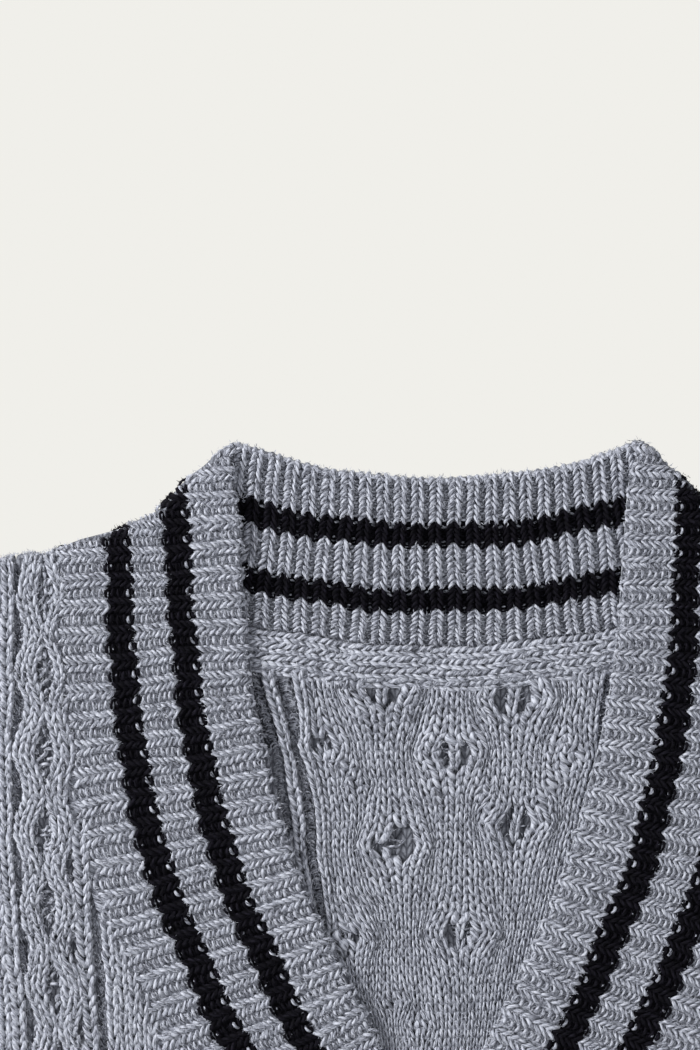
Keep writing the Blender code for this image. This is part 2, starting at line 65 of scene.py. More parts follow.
V_EDGE = (  # height, left, right
    (440.0, 90.0, 90.0),
    (423.0, 89.0, 84.8),
    (406.0, 86.9, 83.2),
    (388.0, 86.0, 81.8),
    (353.0, 82.9, 79.2),
    (327.0, 80.1, 75.6),
    (291.0, 71.6, 67.6),
    (256.0, 62.0, 57.4),
    (217.0, 44.6, 41.2),
    (190.0, 30.9, 28.9),
    (172.0, 22.5, 20.7),
)
V_POINT = (1.0, 128.0)
MITRE_FOOT = (5.0, -6.0)
NECK_SEAM = (  # height, out
    (392.4, 167.0),
    (382.0, 166.0),
    (354.0, 165.6),
    (330.0, 163.6),
    (307.0, 161.4),
    (281.0, 158.6),
    (257.0, 153.2),
    (232.0, 145.6),
    (209.0, 135.4),
    (179.0, 123.0),
    (140.0, 104.0),
    (100.0, 80.5),
    (60.0, 53.5),
    (25.0, 27.0),
)
SHOULDER = (  # out, height
    (90.0, 440.0),
    (96.0, 436.3),
    (104.0, 428.4),
    (111.0, 423.4),
    (117.0, 416.3),
    (121.5, 410.8),
    (128.0, 407.4),
    (135.0, 404.7),
    (142.0, 400.8),
    (154.0, 398.3),
    (162.0, 395.6),
    (167.0, 392.4),
    (171.0, 390.4),
    (179.0, 390.0),
    (192.0, 387.4),
    (204.0, 383.5),
    (229.0, 375.5),
)
BACK_EDGE = (  # out, height
    (0.0, 424.2),
    (20.0, 424.2),
    (46.0, 427.2),
    (62.0, 431.0),
    (76.0, 435.2),
    (90.0, 440.0),
)
BACK_SEAM = (  # out, height
    (0.0, 349.4),
    (20.0, 349.7),
    (51.0, 352.8),
    (80.0, 357.9),
    (110.0, 366.5),
    (140.0, 378.5),
    (167.0, 392.4),
)
ARMHOLE_EDGE = (  # out, height
    (229.0, 375.5),
    (224.5, 332.0),
    (222.0, 290.0),
    (224.0, 250.0),
    (233.0, 215.0),
    (254.0, 190.0),
)
ARMHOLE_SEAM = (  # out, height
    (204.0, 383.5),
    (199.5, 332.0),
    (197.5, 287.0),
    (200.0, 240.0),
    (213.0, 197.0),
    (256.0, 165.0),
)
SIDE = (  # out, height
    (256.0, 165.0),
    (258.0, 60.0),
    (261.0, -120.0),
    (264.0, -370.0),
)
HEM_SEAM = -370.0
HEM_EDGE = -440.0
HEM_FOOT = 258.0
BAND_PITCH = {-1: 11.2, 1: 10.2}
BACK_RIBS = 23
BACK_FAN = 100.0
HEM_RIBS = 46
ARMHOLE_RIBS = 22
RIB_TILT = (  # height, degrees
    (-10.0, 41.0),
    (141.0, 38.0),
    (195.0, 25.0),
    (261.0, 15.0),
    (305.0, 8.0),
    (371.0, 3.0),
    (425.0, 3.0),
    (440.0, 8.0),
)
CABLE_OUT = 172.3
CABLE_PITCH = 34.75
SEAM_RIDGE = 15.0
V_SWELL = 1.4
V_SWELL_REACH = 45.0
FOLD_FADE = 30.0
SWELLS = (  # x, y, reach across, reach along, rise
    (-95.0, -60.0, 60.0, 120.0, 1.3),
    (80.0, -190.0, 55.0, 110.0, 1.5),
    (-120.0, -290.0, 70.0, 45.0, 1.2),
    (175.0, 40.0, 40.0, 90.0, 1.1),
    (-185.0, 90.0, 35.0, 70.0, 0.9),
)

# --- Knitting -----------------------------------------------------------------------------

COURSES = 31  # of the neckband, from its free edge to its seam
STRIPES = ((8, 12), (19, 23))  # courses knitted in the dark yarn
KEY_COURSES = (0, 8, 12, 19, 23, 31)  # the band's edges and its stripes' edges
SHARES_HIGH = {  # how far across the band these lie, left and right, near the shoulders
    -1: (0, 0.283, 0.421, 0.614, 0.743, 1),
    1: (0, 0.281, 0.414, 0.616, 0.730, 1),
}
SHARES_LOW = {  # and near the photo's lower edge
    -1: (0, 0.294, 0.422, 0.588, 0.740, 1),
    1: (0, 0.288, 0.422, 0.605, 0.735, 1),
}
SHARE_HEIGHTS = (172.0, 380.0)  # where the low and the high shares hold
SHARES_BACK = (0, 0.28, 0.41, 0.659, 0.79, 1)  # and across the band behind the neck
SHARES_BACK_END = (0, 0.29, 0.46, 0.68, 0.80, 1)  # and at its two ends
EDGE_ROUND = 2.6  # radius of a free edge
EDGE_LOOP = 0.3  # ribs from one loop of an edge to the next
FOLD_IN = 1.2  # how far inside the fold the stitches start to go round it
WALE = 5.155  # plain knit of the front
COURSE = 4.4
INNER_WALE = 5.45  # plain knit inside the back
INNER_COURSE = 3.95
SINK = 1.5  # how far the cloth behind the yarn lies under the solid's top
CABLE_EYE = 234.8  # height of the middle of one of the cable's hollows
CABLE_OPEN = 8.6  # from the cable's middle to the middle of a strand, at a hollow
CABLE_SHUT = 4.6  # and where the strands cross
STRAND_HALF = 4.5
LEAN_FROM = 269.5  # the columns of the left front lean to the right below this height
LEAN_REACH = 94.5  # over this stretch
LEAN = 6.2  # by this much

GAPS = (  # x, y, half width, half height of the openings between the columns of the back
    (-24.4, 332.0, 5.3, 9.7),
    (35.0, 327.5, 5.3, 9.7),
    (6.6, 303.6, 4.4, 9.0),
    (-49.9, 306.5, 2.8, 7.5),
    (-18.3, 262.9, 4.8, 11.5),
    (11.7, 224.2, 4.8, 8.8),
    (-40.7, 222.0, 4.0, 8.8),
    (35.9, 272.1, 5.0, 8.8),
)
SLOTS = (  # x, y of small slits between two columns
    (-41.1, 298.1),
    (-34.5, 289.3),
    (-19.6, 193.0),
    (-8.6, 183.3),
    (53.9, 309.1),
    (60.9, 302.9),
    (15.6, 310.4),
    (20.5, 317.0),
    (20.0, 284.9),
    (25.7, 278.3),
    (44.7, 281.8),
    (50.4, 289.7),
    (55.2, 298.1),
)
SLOT_HALF = (1.5, 4.2)
FURROW = (  # height, left, right: the sunken purl columns at the sides of the back's inside
    (352.0, 68.5, 78.5),
    (337.7, 66.7, 76.5),
    (319.7, 63.1, 74.2),
    (295.5, 58.3, 71.0),
    (277.4, 55.7, 67.0),
    (259.4, 54.8, 63.0),
    (241.3, 50.8, 58.0),
    (229.0, 47.3, 54.0),
    (160.0, 30.0, 36.0),
)


def far_along(line):
    """Distance along a line of points, at each of them."""
    return np.concatenate([[0.0], np.cumsum(np.linalg.norm(np.diff(line, axis=0), axis=1))])


def unit(vectors):
    """Vectors of length one."""
    return vectors / np.linalg.norm(vectors, axis=1)[:, None]


def raised(p, z):
    """Points of a plane, with their heights."""
    return np.concatenate([p, z[:, None]], axis=1)


def smooth(points, step):
    """Points about step apart on the curve that runs evenly through the given ones."""
    knots = np.array(points, float)
    at = far_along(knots)
    slope = np.gradient(knots, at, axis=0)
    s = np.linspace(0.0, at[-1], max(2, math.ceil(at[-1] / step) + 1))
    i = np.clip(np.searchsorted(at, s, side="right") - 1, 0, len(at) - 2)
    span = (at[i + 1] - at[i])[:, None]
    t = (s - at[i])[:, None] / span
    start = (1 + 2 * t) * (1 - t) ** 2 * knots[i] + t * (1 - t) ** 2 * span * slope[i]
    end = t * t * (3 - 2 * t) * knots[i + 1] + t * t * (t - 1) * span * slope[i + 1]
    return start + end


def at_steps(line, count):
    """count + 1 points evenly spaced along a line."""
    along = far_along(line)
    s = np.linspace(0.0, along[-1], count + 1)
    return np.stack([np.interp(s, along, line[:, k]) for k in range(2)], axis=1)


def away_from(points, line):
    """Distance of each point from a line of points."""
    found = []
    a = line[None, :-1]
    d = line[None, 1:] - a
    for part in np.array_split(points, max(1, len(points) // 8000)):
        p = part[:, None, :]
        t = np.clip(((p - a) * d).sum(2) / np.maximum((d * d).sum(2), 1e-9), 0.0, 1.0)
        found.append(np.linalg.norm(p - a - t[..., None] * d, axis=2).min(axis=1))
    return np.concatenate(found)


def mirrored(table, side):
    """A table of out and height as points on the left (-1) or the right (1)."""
    return [(side * out, height) for out, height in table]


def v_edge(side, step):
    """The free edge of the V on one side, from its point up to the neck."""
    column = {-1: 1, 1: 2}[side]
    rows = [(side * row[column], row[0]) for row in reversed(V_EDGE)]
    return smooth([V_POINT, *rows], step)


def neck_seam(side, step):
    """The seam between band and front on one side, from the foot of the mitre up."""
    rows = [(side * out, height) for height, out in reversed(NECK_SEAM)]
    return smooth([MITRE_FOOT, *rows], step)


def back_seam(step):
    """The seam between band and back, from left to right."""
    return smooth(mirrored(BACK_SEAM[::-1], -1) + mirrored(BACK_SEAM[1:], 1), step)


SHOULDER_LINE = smooth(SHOULDER, 1.0)
FOLDS = [
    smooth(mirrored(table, side), 8.0) for table in (SHOULDER, SIDE) for side in (-1, 1)
]
for hand in (-1, 1):
    FOLDS.append(np.array([(hand * SIDE[-1][0], HEM_SEAM), (hand * HEM_FOOT, HEM_EDGE)]))
    underarm = [(hand * ARMHOLE_EDGE[-1][0], ARMHOLE_EDGE[-1][1]), (hand * SIDE[0][0], SIDE[0][1])]
    FOLDS.append(np.array(underarm))
V_EDGES = [v_edge(side, 6.0) for side in (-1, 1)]


def nearest(points, lines):
    """Distance of each point from the nearest of several lines."""
    return np.min([away_from(points, line) for line in lines], axis=0)


def swell(p):
    """How far the front layer lies above the height at which it rests on the back."""
    rise = V_SWELL * np.exp(-((nearest(p, V_EDGES) / V_SWELL_REACH) ** 2))
    for x, y, across, along, height in SWELLS:
        rise += height * np.exp(-(((p[:, 0] - x) / across) ** 2) - ((p[:, 1] - y) / along) ** 2)
    t = np.clip(nearest(p, FOLDS) / FOLD_FADE, 0.0, 1.0)
    return rise * t * t * (3 - 2 * t)


def rounded(distance, reach):
    """0 to 1: how far a quarter round has come down, this far inside its edge."""
    inner = np.clip(1.0 - distance / reach, 0.0, 1.0)
    return 1.0 - np.sqrt(1.0 - inner * inner)


def top_of(p, front, wall, rims=(), folded=True):
    """Upper side of a layer's wall, rounded at folds and seams."""
    base = FRONT_REST + swell(p) if front else np.zeros(len(p))
    full = np.full(len(p), wall)
    if len(rims):
        full -= RIM_DROP * rounded(nearest(p, rims), RIM_ROUND)
    if folded:
        full += (LEAST_EDGE - full) * rounded(nearest(p, FOLDS), FOLD_ROUND)
    return base + full


def inside(points, outline):
    """Whether each point lies inside a closed outline."""
    x, y = points[:, 0][:, None], points[:, 1][:, None]
    a, b = outline, np.roll(outline, -1, axis=0)
    spans = (a[:, 1] > y) != (b[:, 1] > y)
    cross = a[:, 0] + (y - a[:, 1]) * (b[:, 0] - a[:, 0]) / (b[:, 1] - a[:, 1] + 1e-12)
    return (spans & (x < cross)).sum(axis=1) % 2 == 1


LEAST_FAR = 0.2  # a line nearer than this is where the ray starts


def first_hit(start, way, line):
    """How far from a start a ray first meets a line of points."""
    a, d = line[:-1], np.diff(line, axis=0)
    det = way[0] * d[:, 1] - way[1] * d[:, 0]
    det = np.where(np.abs(det) < 1e-12, 1e-12, det)
    off = a - start
    far = (off[:, 0] * d[:, 1] - off[:, 1] * d[:, 0]) / det
    along = (off[:, 0] * way[1] - off[:, 1] * way[0]) / det
    good = (far > LEAST_FAR) & (along >= -0.001) & (along <= 1.001)
    return far[good].min()


# --- Patches: where a stitch lies ---------------------------------------------------------


def across_pitch(shape, share):
    """A shape made for one knit column, as a share of the whole rib repeat."""
    if isinstance(shape, list):
        return [across_pitch(version, share) for version in shape]
    return (shape[0] * (share, 1, 1), *shape[1:])


RUN_ON = 0.6  # cells by which a stitch may hang over the end of its patch


class Patch:
    """A knitted surface: points on a grid of wale lines (s) and course lines (c)."""

    def __init__(self, s, c, points):
        self.s, self.c = np.asarray(s, float), np.asarray(c, float)
        self.points = np.asarray(points, float)
        across = np.gradient(self.points, axis=0)
        along = np.gradient(self.points, axis=1)
        normal = np.cross(across, along)
        normal /= np.maximum(np.linalg.norm(normal, axis=2), 1e-9)[..., None]
        self.turned = normal[..., 2].sum() < 0
        self.normal = -normal if self.turned else normal

    def at(self, s, c):
        """Points and normals at places on the grid, which runs on beyond its ends."""
        i = np.clip(np.searchsorted(self.s, s, side="right") - 1, 0, len(self.s) - 2)
        j = np.clip(np.searchsorted(self.c, c, side="right") - 1, 0, len(self.c) - 2)
        a = ((s - self.s[i]) / (self.s[i + 1] - self.s[i]))[..., None]
        b = ((c - self.c[j]) / (self.c[j + 1] - self.c[j]))[..., None]
        a, b = np.clip(a, -RUN_ON, 1 + RUN_ON), np.clip(b, -RUN_ON, 1 + RUN_ON)
        found = []
        for grid in (self.points, self.normal):
            low = grid[i, j] * (1 - a) + grid[i + 1, j] * a
            high = grid[i, j + 1] * (1 - a) + grid[i + 1, j + 1] * a
            found.append(low * (1 - b) + high * b)
        found[1] /= np.maximum(np.linalg.norm(found[1], axis=-1), 1e-9)[..., None]
        return found


def round_edge(far, radius):
    """Far along a surface from its free edge: how far in from the edge, and how far down."""
    flat = radius * math.pi / 2
    angle = np.clip((flat - far) / np.maximum(radius, 1e-9), 0.0, math.pi / 2)
    bend = np.clip(far, 0.0, flat)
    into = np.where(far > flat, far - flat + radius, radius * (1 - np.sin(angle)))
    down = np.where(bend < flat, radius * (1 - np.cos(angle)), 0.0) + np.maximum(-far, 0.0)
    return into, down


# --- Templates: the shapes of one stitch --------------------------------------------------

VARIANTS = 5  # irregular versions of each shape
FINE_YARN = {"plies": 1, "rings": 6, "sides": 5}
COARSE_YARN = {"plies": 1, "rings": 3, "sides": 3}
ROUGH = (0.13, 0.16, 0.14, 0.05)  # mm by which they differ across, along, up and in radius
FIBRES_APART = 7.3  # mm between the fibres of two yarns in one template
MAP_SHARE, MAP_EDGE = (0.86, 0.9), (0.07, 0.05)  # a yarn's part of its field on the map
PLY_OUT, PLY_THICK, PLY_FLAT = 0.50, 0.56, 0.75  # of two plies, as shares of the yarn's radius
EVEN_TWIST = (1.5, -0.75)  # how far two plies turn along a stitch, and from where
TWIST_TURN, TWIST_START = (0.6, 2.6), (-1.5, 0.6)  # the same for irregular versions


def section_of(path):
    """Directions across a path and up from it, at each of its points."""
    ahead = unit(np.gradient(path, axis=0))
    beside = unit(np.cross(ahead, (0.0, 0.0, 1.0)))
    return beside, np.cross(beside, ahead)


def yarn(path, radii, sides, wale, course, spread=112.0, flat=0.86):
    """Yarn swept along a path in mm, open underneath, as wale and course shares."""
    path = np.asarray(path, float)
    radii = np.asarray(radii, float)
    beside, up = section_of(path)
    far = far_along(path)
    angles = np.radians(np.linspace(-spread, spread, sides))
    verts, fibre, flat_map = [], [], []
    for k, (centre, radius) in enumerate(zip(path, radii)):
        for n, angle in enumerate(angles):
            out = beside[k] * math.sin(angle) + up[k] * math.cos(angle) * flat
            verts.append(centre + radius * out)
            fibre.append((angle * radii.max(), far[k]))
            flat_map.append((n / (sides - 1), k / (len(path) - 1)))
    faces = []
    for k in range(len(path) - 1):
        for n in range(sides - 1):
            a = k * sides + n
            faces.append((a, a + 1, a + sides + 1, a + sides))
    verts = np.array(verts) / (wale, course, 1.0)
    return verts, np.array(faces), np.array(fibre), np.array(flat_map)


def both(*shapes):
    """Several shapes as one template, side by side on its map."""
    verts, faces, fibre, flat = [], [], [], []
    count = 0
    for k, shape in enumerate(shapes):
        verts.append(shape[0])
        faces.append(shape[1] + count)
        fibre.append(shape[2] + (FIBRES_APART * k, 0.0))
        flat.append((shape[3] * MAP_SHARE + MAP_EDGE + (k, 0)) / (len(shapes), 1))
        count += len(shape[0])
    return tuple(np.concatenate(x) for x in (verts, faces, fibre, flat))


def curve_through(points, count):
    """An even curve of count points through a few given ones."""
    points = np.asarray(points, float)
    at = np.linspace(0.0, 1.0, len(points))
    t = np.linspace(0.0, 1.0, count)
    fit = [np.polyfit(at, points[:, k], min(3, len(points) - 1)) for k in range(points.shape[1])]
    return np.stack([np.polyval(f, t) for f in fit], axis=1)


def plies_of(line, count, sides, wale, course, turn, first):
    """A yarn along a line of (x, y, z, radius): its plies, twisted round each other."""
    if count == 1:
        return [yarn(line[:, :3], line[:, 3], sides, wale, course)]
    beside, up = section_of(line[:, :3])
    found = []
    for k in range(count):
        angle = first + turn * np.linspace(0.0, 1.0, len(line)) + 2 * math.pi * k / count
        out = beside * np.cos(angle)[:, None] + up * PLY_FLAT * np.sin(angle)[:, None]
        middle = line[:, :3] + out * (PLY_OUT * line[:, 3])[:, None]
        found.append(yarn(middle, PLY_THICK * line[:, 3], sides, wale, course))
    return found


def variants(make, *sizes, **settings):
    """A few irregular versions of one shape, as hand-laid yarn has."""
    settings.setdefault("rough", 1.0)
    return [make(*sizes, **settings) for _ in range(VARIANTS)]


def roughened(points, rough):
    """The points of a path in mm, with a radius each, moved and swelled a little at random."""
    shake = shape_rng.normal(size=(len(points), 4)) * ROUGH * rough
    return np.asarray(points, float) + shake


def knit(
    wale, course, thick, rings=5, sides=4, lean=0.33, reach=1.30, plies=2, foot=0.05, start=0.32,
    rough=0.0, dip=1.0,
):
    """The V of one knit stitch: two legs, close at its tip and apart at its top.

    foot and lean are how far out the legs stand and lean, as shares of the wale; start and reach
    are where they begin and end, in courses; dip is how deep their ends go.
    """
    legs = []
    for way in (-1, 1):
        way_in = foot * wale
        points = [
            (way * way_in, -start * course, -0.55 * dip * thick, 0.36 * thick),
            (way * (way_in + 0.30 * lean * wale), 0.10 * course, 0.10 * thick, 0.47 * thick),
            (way * (way_in + 0.66 * lean * wale), 0.52 * course, 0.30 * thick, 0.50 * thick),
            (way * (way_in + 0.93 * lean * wale), 0.88 * course, 0.06 * thick, 0.45 * thick),
            (way * (way_in + lean * wale), reach * course, -0.62 * dip * thick, 0.33 * thick),
        ]
        line = curve_through(roughened(points, rough), rings)
        turn, first = EVEN_TWIST
        if rough:
            turn, first = shape_rng.uniform(*TWIST_TURN), shape_rng.uniform(*TWIST_START)
        legs += plies_of(line, plies, sides, wale, course, turn, first)
    return both(*legs)


def bar(length, thick, rings=4, sides=4, sag=0.25, slant=0.0, rough=0.0):
    """A short strand that lies across, its ends down; sag and slant are in mm."""
    at = np.linspace(-1.0, 1.0, rings)
    along = sag * at * at + slant * at
    line = np.stack([at * length / 2, along, -0.9 * thick * at**4, thick / 2 + 0 * at], axis=1)
    line = roughened(line, rough)
    return both(yarn(line[:, :3], line[:, 3], sides, 1.0, 1.0))


def bump(width, course, thick, arch=0.22, rings=5, sides=4, wale=None, rough=0.0, spin=0.0):
    """The head of one purl stitch: a short bar across its column, turned by up to spin."""
    points = [
        (-0.50 * width, -arch * course, -1.5 * thick, 0.40 * thick),
        (-0.27 * width, 0.0, -0.15 * thick, 0.48 * thick),
        (0.0, arch * 0.5 * course, 0.25 * thick, 0.50 * thick),
        (0.27 * width, 0.0, -0.15 * thick, 0.48 * thick),
        (0.50 * width, -arch * course, -1.5 * thick, 0.40 * thick),
    ]
    line = curve_through(roughened(points, rough), rings)
    if spin:
        angle = shape_rng.uniform(-spin, spin)
        turned = np.array([[math.cos(angle), math.sin(angle)], [-math.sin(angle), math.cos(angle)]])
        line[:, :2] = line[:, :2] @ turned
    return both(yarn(line[:, :3], line[:, 3], sides, wale or width, course))


# --- Meshes -------------------------------------------------------------------------------


def add_object(name, data):
    """An object in the scene."""
    obj = bpy.data.objects.new(name, data)
    bpy.context.scene.collection.objects.link(obj)
    return obj


def uneven(p):
    """Slow unevenness of hand-laid knitting, in mm, the same for all that lies at one place."""
    x, y = p[..., 0], p[..., 1]
    across = 0.45 * np.sin(x / 9.1 + y / 23.0) + 0.35 * np.sin(y / 7.3 - x / 31.0 + 1.0)
    along = 0.45 * np.sin(x / 8.3 - y / 19.0 + 2.0) + 0.35 * np.sin(y / 11.7 + x / 13.1)
    high = 0.22 * np.sin(x / 12.7 + y / 9.9) + 0.20 * np.sin(x / 7.7 - y / 16.1 + 0.5)
    return np.stack([across, along, high], axis=-1)


LOOSENESS = (0.05, 0.05, 0.10, 0.06, 0.22)  # of size, in wales, in courses, of slant, in mm up
LEAST_HEIGHT = 0.15  # of any yarn over the surface that the dress lies on
FIBRE_RANGE = (0.0, 400.0)  # mm; each copy's fibres start at their own place in it
LAID_SHADE_TONE = -5.0  # the cloth behind the stitches is drawn darker than their yarn, as painted shade
HAIR_LENGTH = (0.9, 2.5)
HAIR_WIDTH = (0.16, 0.34)
HAIR_BEND = 0.5  # radians
HAIR_RISE = (0.35, 0.12)  # of its middle and its tip, as shares of its length
HAIR_LEAST_HEIGHT = 0.2
HAIR_TONE, HAIR_TONES = 0.5, 3.5  # middle and spread
HAIRLESS = 200  # a laid piece of more faces than this has no hairs
HAIR_MAP = np.array([(0.5, 0.0), (0.0, 0.5), (0.5, 1.0), (1.0, 0.5)])
HAIR_FIELDS = 2  # fields of the map that all hairs share, one for each yarn


class Stitches:
    """Collects copies of templates, then makes them one mesh."""

    def __init__(self, name):
        self.name = name
        self.parts = []
        self.bald = set()
        self.hairs = None

    def add(self, patch, shape, s, c, lift=0.0, dark=None, loose=0.35, shade=0.0, bald=False):
        """One copy of a shape at each place. lift is in mm; loose is how unevenly they lie.

        shade makes their yarn lighter or darker, and no hair grows on what is bald.
        """
        s, c = np.asarray(s, float), np.asarray(c, float)
        if not len(s):
            return
        if isinstance(shape, list):
            pick = rng.integers(len(shape), size=len(s))
            lift = np.broadcast_to(lift, len(s))
            dark = np.zeros(len(s), int) if dark is None else np.asarray(dark)
            for k, version in enumerate(shape):
                mine = pick == k
                rest = (lift[mine], dark[mine], loose, shade, bald)
                self.add(patch, version, s[mine], c[mine], *rest)
            return
        verts, faces, fibre, flat = shape
        n = len(s)
        shake = (rng.normal(size=(n, 5)) * LOOSENESS * loose).T[..., None]
        grow = 1.0 + shake[0]
        u = verts[None, :, 0] * grow + shake[1]
        v = verts[None, :, 1] * grow + shake[2]
        u = u + v * shake[3]
        w = verts[None, :, 2] + np.broadcast_to(lift, n)[:, None] + shake[4]
        p, normal = patch.at(s[:, None] + u, c[:, None] + v)
        p = p + uneven(p) + normal * w[..., None]
        p[..., 2] = np.maximum(p[..., 2], LEAST_HEIGHT)
        xyz = p * MM
        start = rng.uniform(*FIBRE_RANGE, size=(n, 1, 3))
        coordinates = np.concatenate([fibre, np.zeros((len(fibre), 1))], axis=1)[None] + start
        tone = np.repeat(rng.normal(shade, 1.0, size=n), len(verts))
        order = faces[:, ::-1] if patch.turned else faces
        dark = np.zeros(n, int) if dark is None else np.asarray(dark).astype(int)
        if bald:
            self.bald.add(len(self.parts))
        self.parts.append((xyz, order, coordinates, tone, flat, dark))

    def lay(
        self, patch, low, high, sink, swell_by=0.0, tone=LAID_SHADE_TONE, striped=True, turned=True,
        last=math.inf,
    ):
        """The cloth itself, sink mm below the patch, from one of its lines to another.

        swell_by raises it under each rib, last is the last course that it covers, and tone darkens it
        as painted shade of the gaps between the stitches.
        """
        rows = (patch.s >= low) & (patch.s <= high)
        columns = patch.c <= last
        grid = patch.points[rows][:, columns]
        grid = grid + uneven(grid)
        ridge = -swell_by * np.cos(2 * math.pi * patch.s[rows])[:, None, None]
        grid = grid + patch.normal[rows][:, columns] * (ridge - sink)
        grid[..., 2] = np.maximum(grid[..., 2], LEAST_HEIGHT)
        n, m = grid.shape[:2]
        cell = np.arange(n * m).reshape(n, m)[:-1, :-1]
        quads = np.stack([cell, cell + m, cell + m + 1, cell + 1], axis=-1)
        if patch.turned:
            quads = quads[..., ::-1]
        plane = grid[..., 1::-1] if turned else grid[..., :2]
        coordinates = np.concatenate([plane.reshape(-1, 2), np.zeros((n * m, 1))], axis=1)
        flat = np.stack(np.meshgrid(np.linspace(0, 1, n), np.linspace(0, 1, m), indexing="ij"), -1)
        for dark in (0, 1) if striped else (0,):
            of_stripe = is_dark(patch.c[columns][:-1]) == bool(dark)
            chosen = quads[:, of_stripe | (not striped)].reshape(-1, 4)
            part = (grid.reshape(1, -1, 3) * MM, chosen, coordinates[None], np.full(n * m, tone))
            self.parts.append((*part, flat.reshape(-1, 2), np.array([dark])))

    def fuzz(self, count, window, lie, spread=0.8):
        """Short bent hairs that stand out of the yarn, in a window (x, x, y, y) of the view."""
        roots, darks = [], []
        for number, (xyz, order, *_, dark) in enumerate(self.parts):
            if len(order) > HAIRLESS or number in self.bald:
                continue
            p = xyz.reshape(-1, 3) / MM
            seen = (p[:, 0] > window[0]) & (p[:, 0] < window[1])
            seen &= (p[:, 1] > window[2]) & (p[:, 1] < window[3])
            roots.append(p[seen])
            darks.append(np.repeat(dark, xyz.shape[1])[seen])
        roots, darks = np.concatenate(roots), np.concatenate(darks)
        taken = rng.integers(len(roots), size=count)
        root, dark = roots[taken], darks[taken]
        angle = rng.normal(lie, spread, count) + math.pi * rng.integers(2, size=count)
        bend = rng.normal(0.0, HAIR_BEND, count)
        length = rng.uniform(*HAIR_LENGTH, count)[:, None]
        width = rng.uniform(*HAIR_WIDTH, count)[:, None]

        def way(turn, up):
            return np.stack([np.cos(turn), np.sin(turn), np.full(count, up)], axis=1)

        middle = root + 0.5 * length * way(angle + bend, HAIR_RISE[0])
        tip = root + length * way(angle, HAIR_RISE[1])
        beside = np.stack([-np.sin(angle), np.cos(angle), np.zeros(count)], axis=1) * width / 2
        hair = np.stack([root, middle - beside, tip, middle + beside], axis=1)
        hair[..., 2] = np.maximum(hair[..., 2], HAIR_LEAST_HEIGHT)
        place = rng.uniform(*FIBRE_RANGE, size=(count, 1, 3)) + np.zeros((1, 4, 1))
        tone = np.repeat(rng.normal(HAIR_TONE, HAIR_TONES, size=count), 4)
        self.hairs = (hair * MM, np.array([[0, 1, 2, 3]]), place, tone, HAIR_MAP, dark)

    def make(self, materials):
        """One object of all the copies and hairs, with their map and yarn attributes."""
        points, faces, yarns, tones, maps, index = [], [], [], [], [], []
        count = 0
        copies = sum(len(p[0]) for p in self.parts)
        columns = math.ceil(math.sqrt(copies + HAIR_FIELDS))
        done = 0
        parts = self.parts + ([self.hairs] if self.hairs else [])
        for xyz, order, coordinates, tone, flat, dark in parts:
            n, m = xyz.shape[:2]
            points.append(xyz.reshape(-1, 3))
            quads = order[None] + (count + m * np.arange(n))[:, None, None]
            faces.append(quads.reshape(-1, 4))
            yarns.append(coordinates.reshape(-1, 3))
            tones.append(tone)
            cell = copies + dark if len(order) == 1 else done + np.arange(n)
            corner = np.stack([cell % columns, cell // columns], axis=1)[:, None]
            maps.append(((flat[None] + corner) / columns).reshape(-1, 2))
            index.append(np.repeat(dark, len(order)))
            count += n * m
            done += n
        points, faces = np.concatenate(points), np.concatenate(faces)
        mesh = bpy.data.meshes.new(self.name)
        mesh.vertices.add(len(points))
        mesh.vertices.foreach_set("co", points.ravel().astype(np.float32))
        mesh.loops.add(faces.size)
        mesh.loops.foreach_set("vertex_index", faces.ravel().astype(np.int32))
        mesh.polygons.add(len(faces))
        mesh.polygons.foreach_set("loop_start", np.arange(0, faces.size, 4, dtype=np.int32))
        mesh.polygons.foreach_set("material_index", np.concatenate(index).astype(np.int32))
        mesh.update(calc_edges=True)
        put(mesh, "yarn", "FLOAT_VECTOR", "vector", np.concatenate(yarns))
        put(mesh, "tone", "FLOAT", "value", np.concatenate(tones))
        layer = mesh.uv_layers.new(name="OFBake")
        layer.uv.foreach_set("vector", np.concatenate(maps)[faces.ravel()].ravel().astype(np.float32))
        for material in materials:
            mesh.materials.append(material)
        mesh.shade_smooth()
        return add_object(self.name, mesh)


def put(mesh, name, kind, field, values):
    """Writes one value for each point of a mesh."""
    made = mesh.attributes.new(name, kind, "POINT")
    made.data.foreach_set(field, np.asarray(values, np.float32).ravel())


# --- Materials ----------------------------------------------------------------------------


FIBRE_SCALE = (1.35, 0.42, 1.0)  # across the yarn, along it
FLECK_SCALE = (0.55, 0.22, 1.0)
TWIST = 0.55  # mm across the yarn for each mm along it, by which its plies turn
PLY_WIDTH = 2.7
PLY_POWER = 0.55
FIBRE_GAIN, FLECK_GAIN, TONE_GAIN = 2.3, 0.9, 0.045  # how far each moves it along its stops
MIX_FROM = -1.09
FIBRE_RELIEF = 0.55
CLOTH_SLANT = 1.6  # courses that a drawn stitch's leg climbs for each wale across
CLOTH_NOISE_SCALE = 1400.0


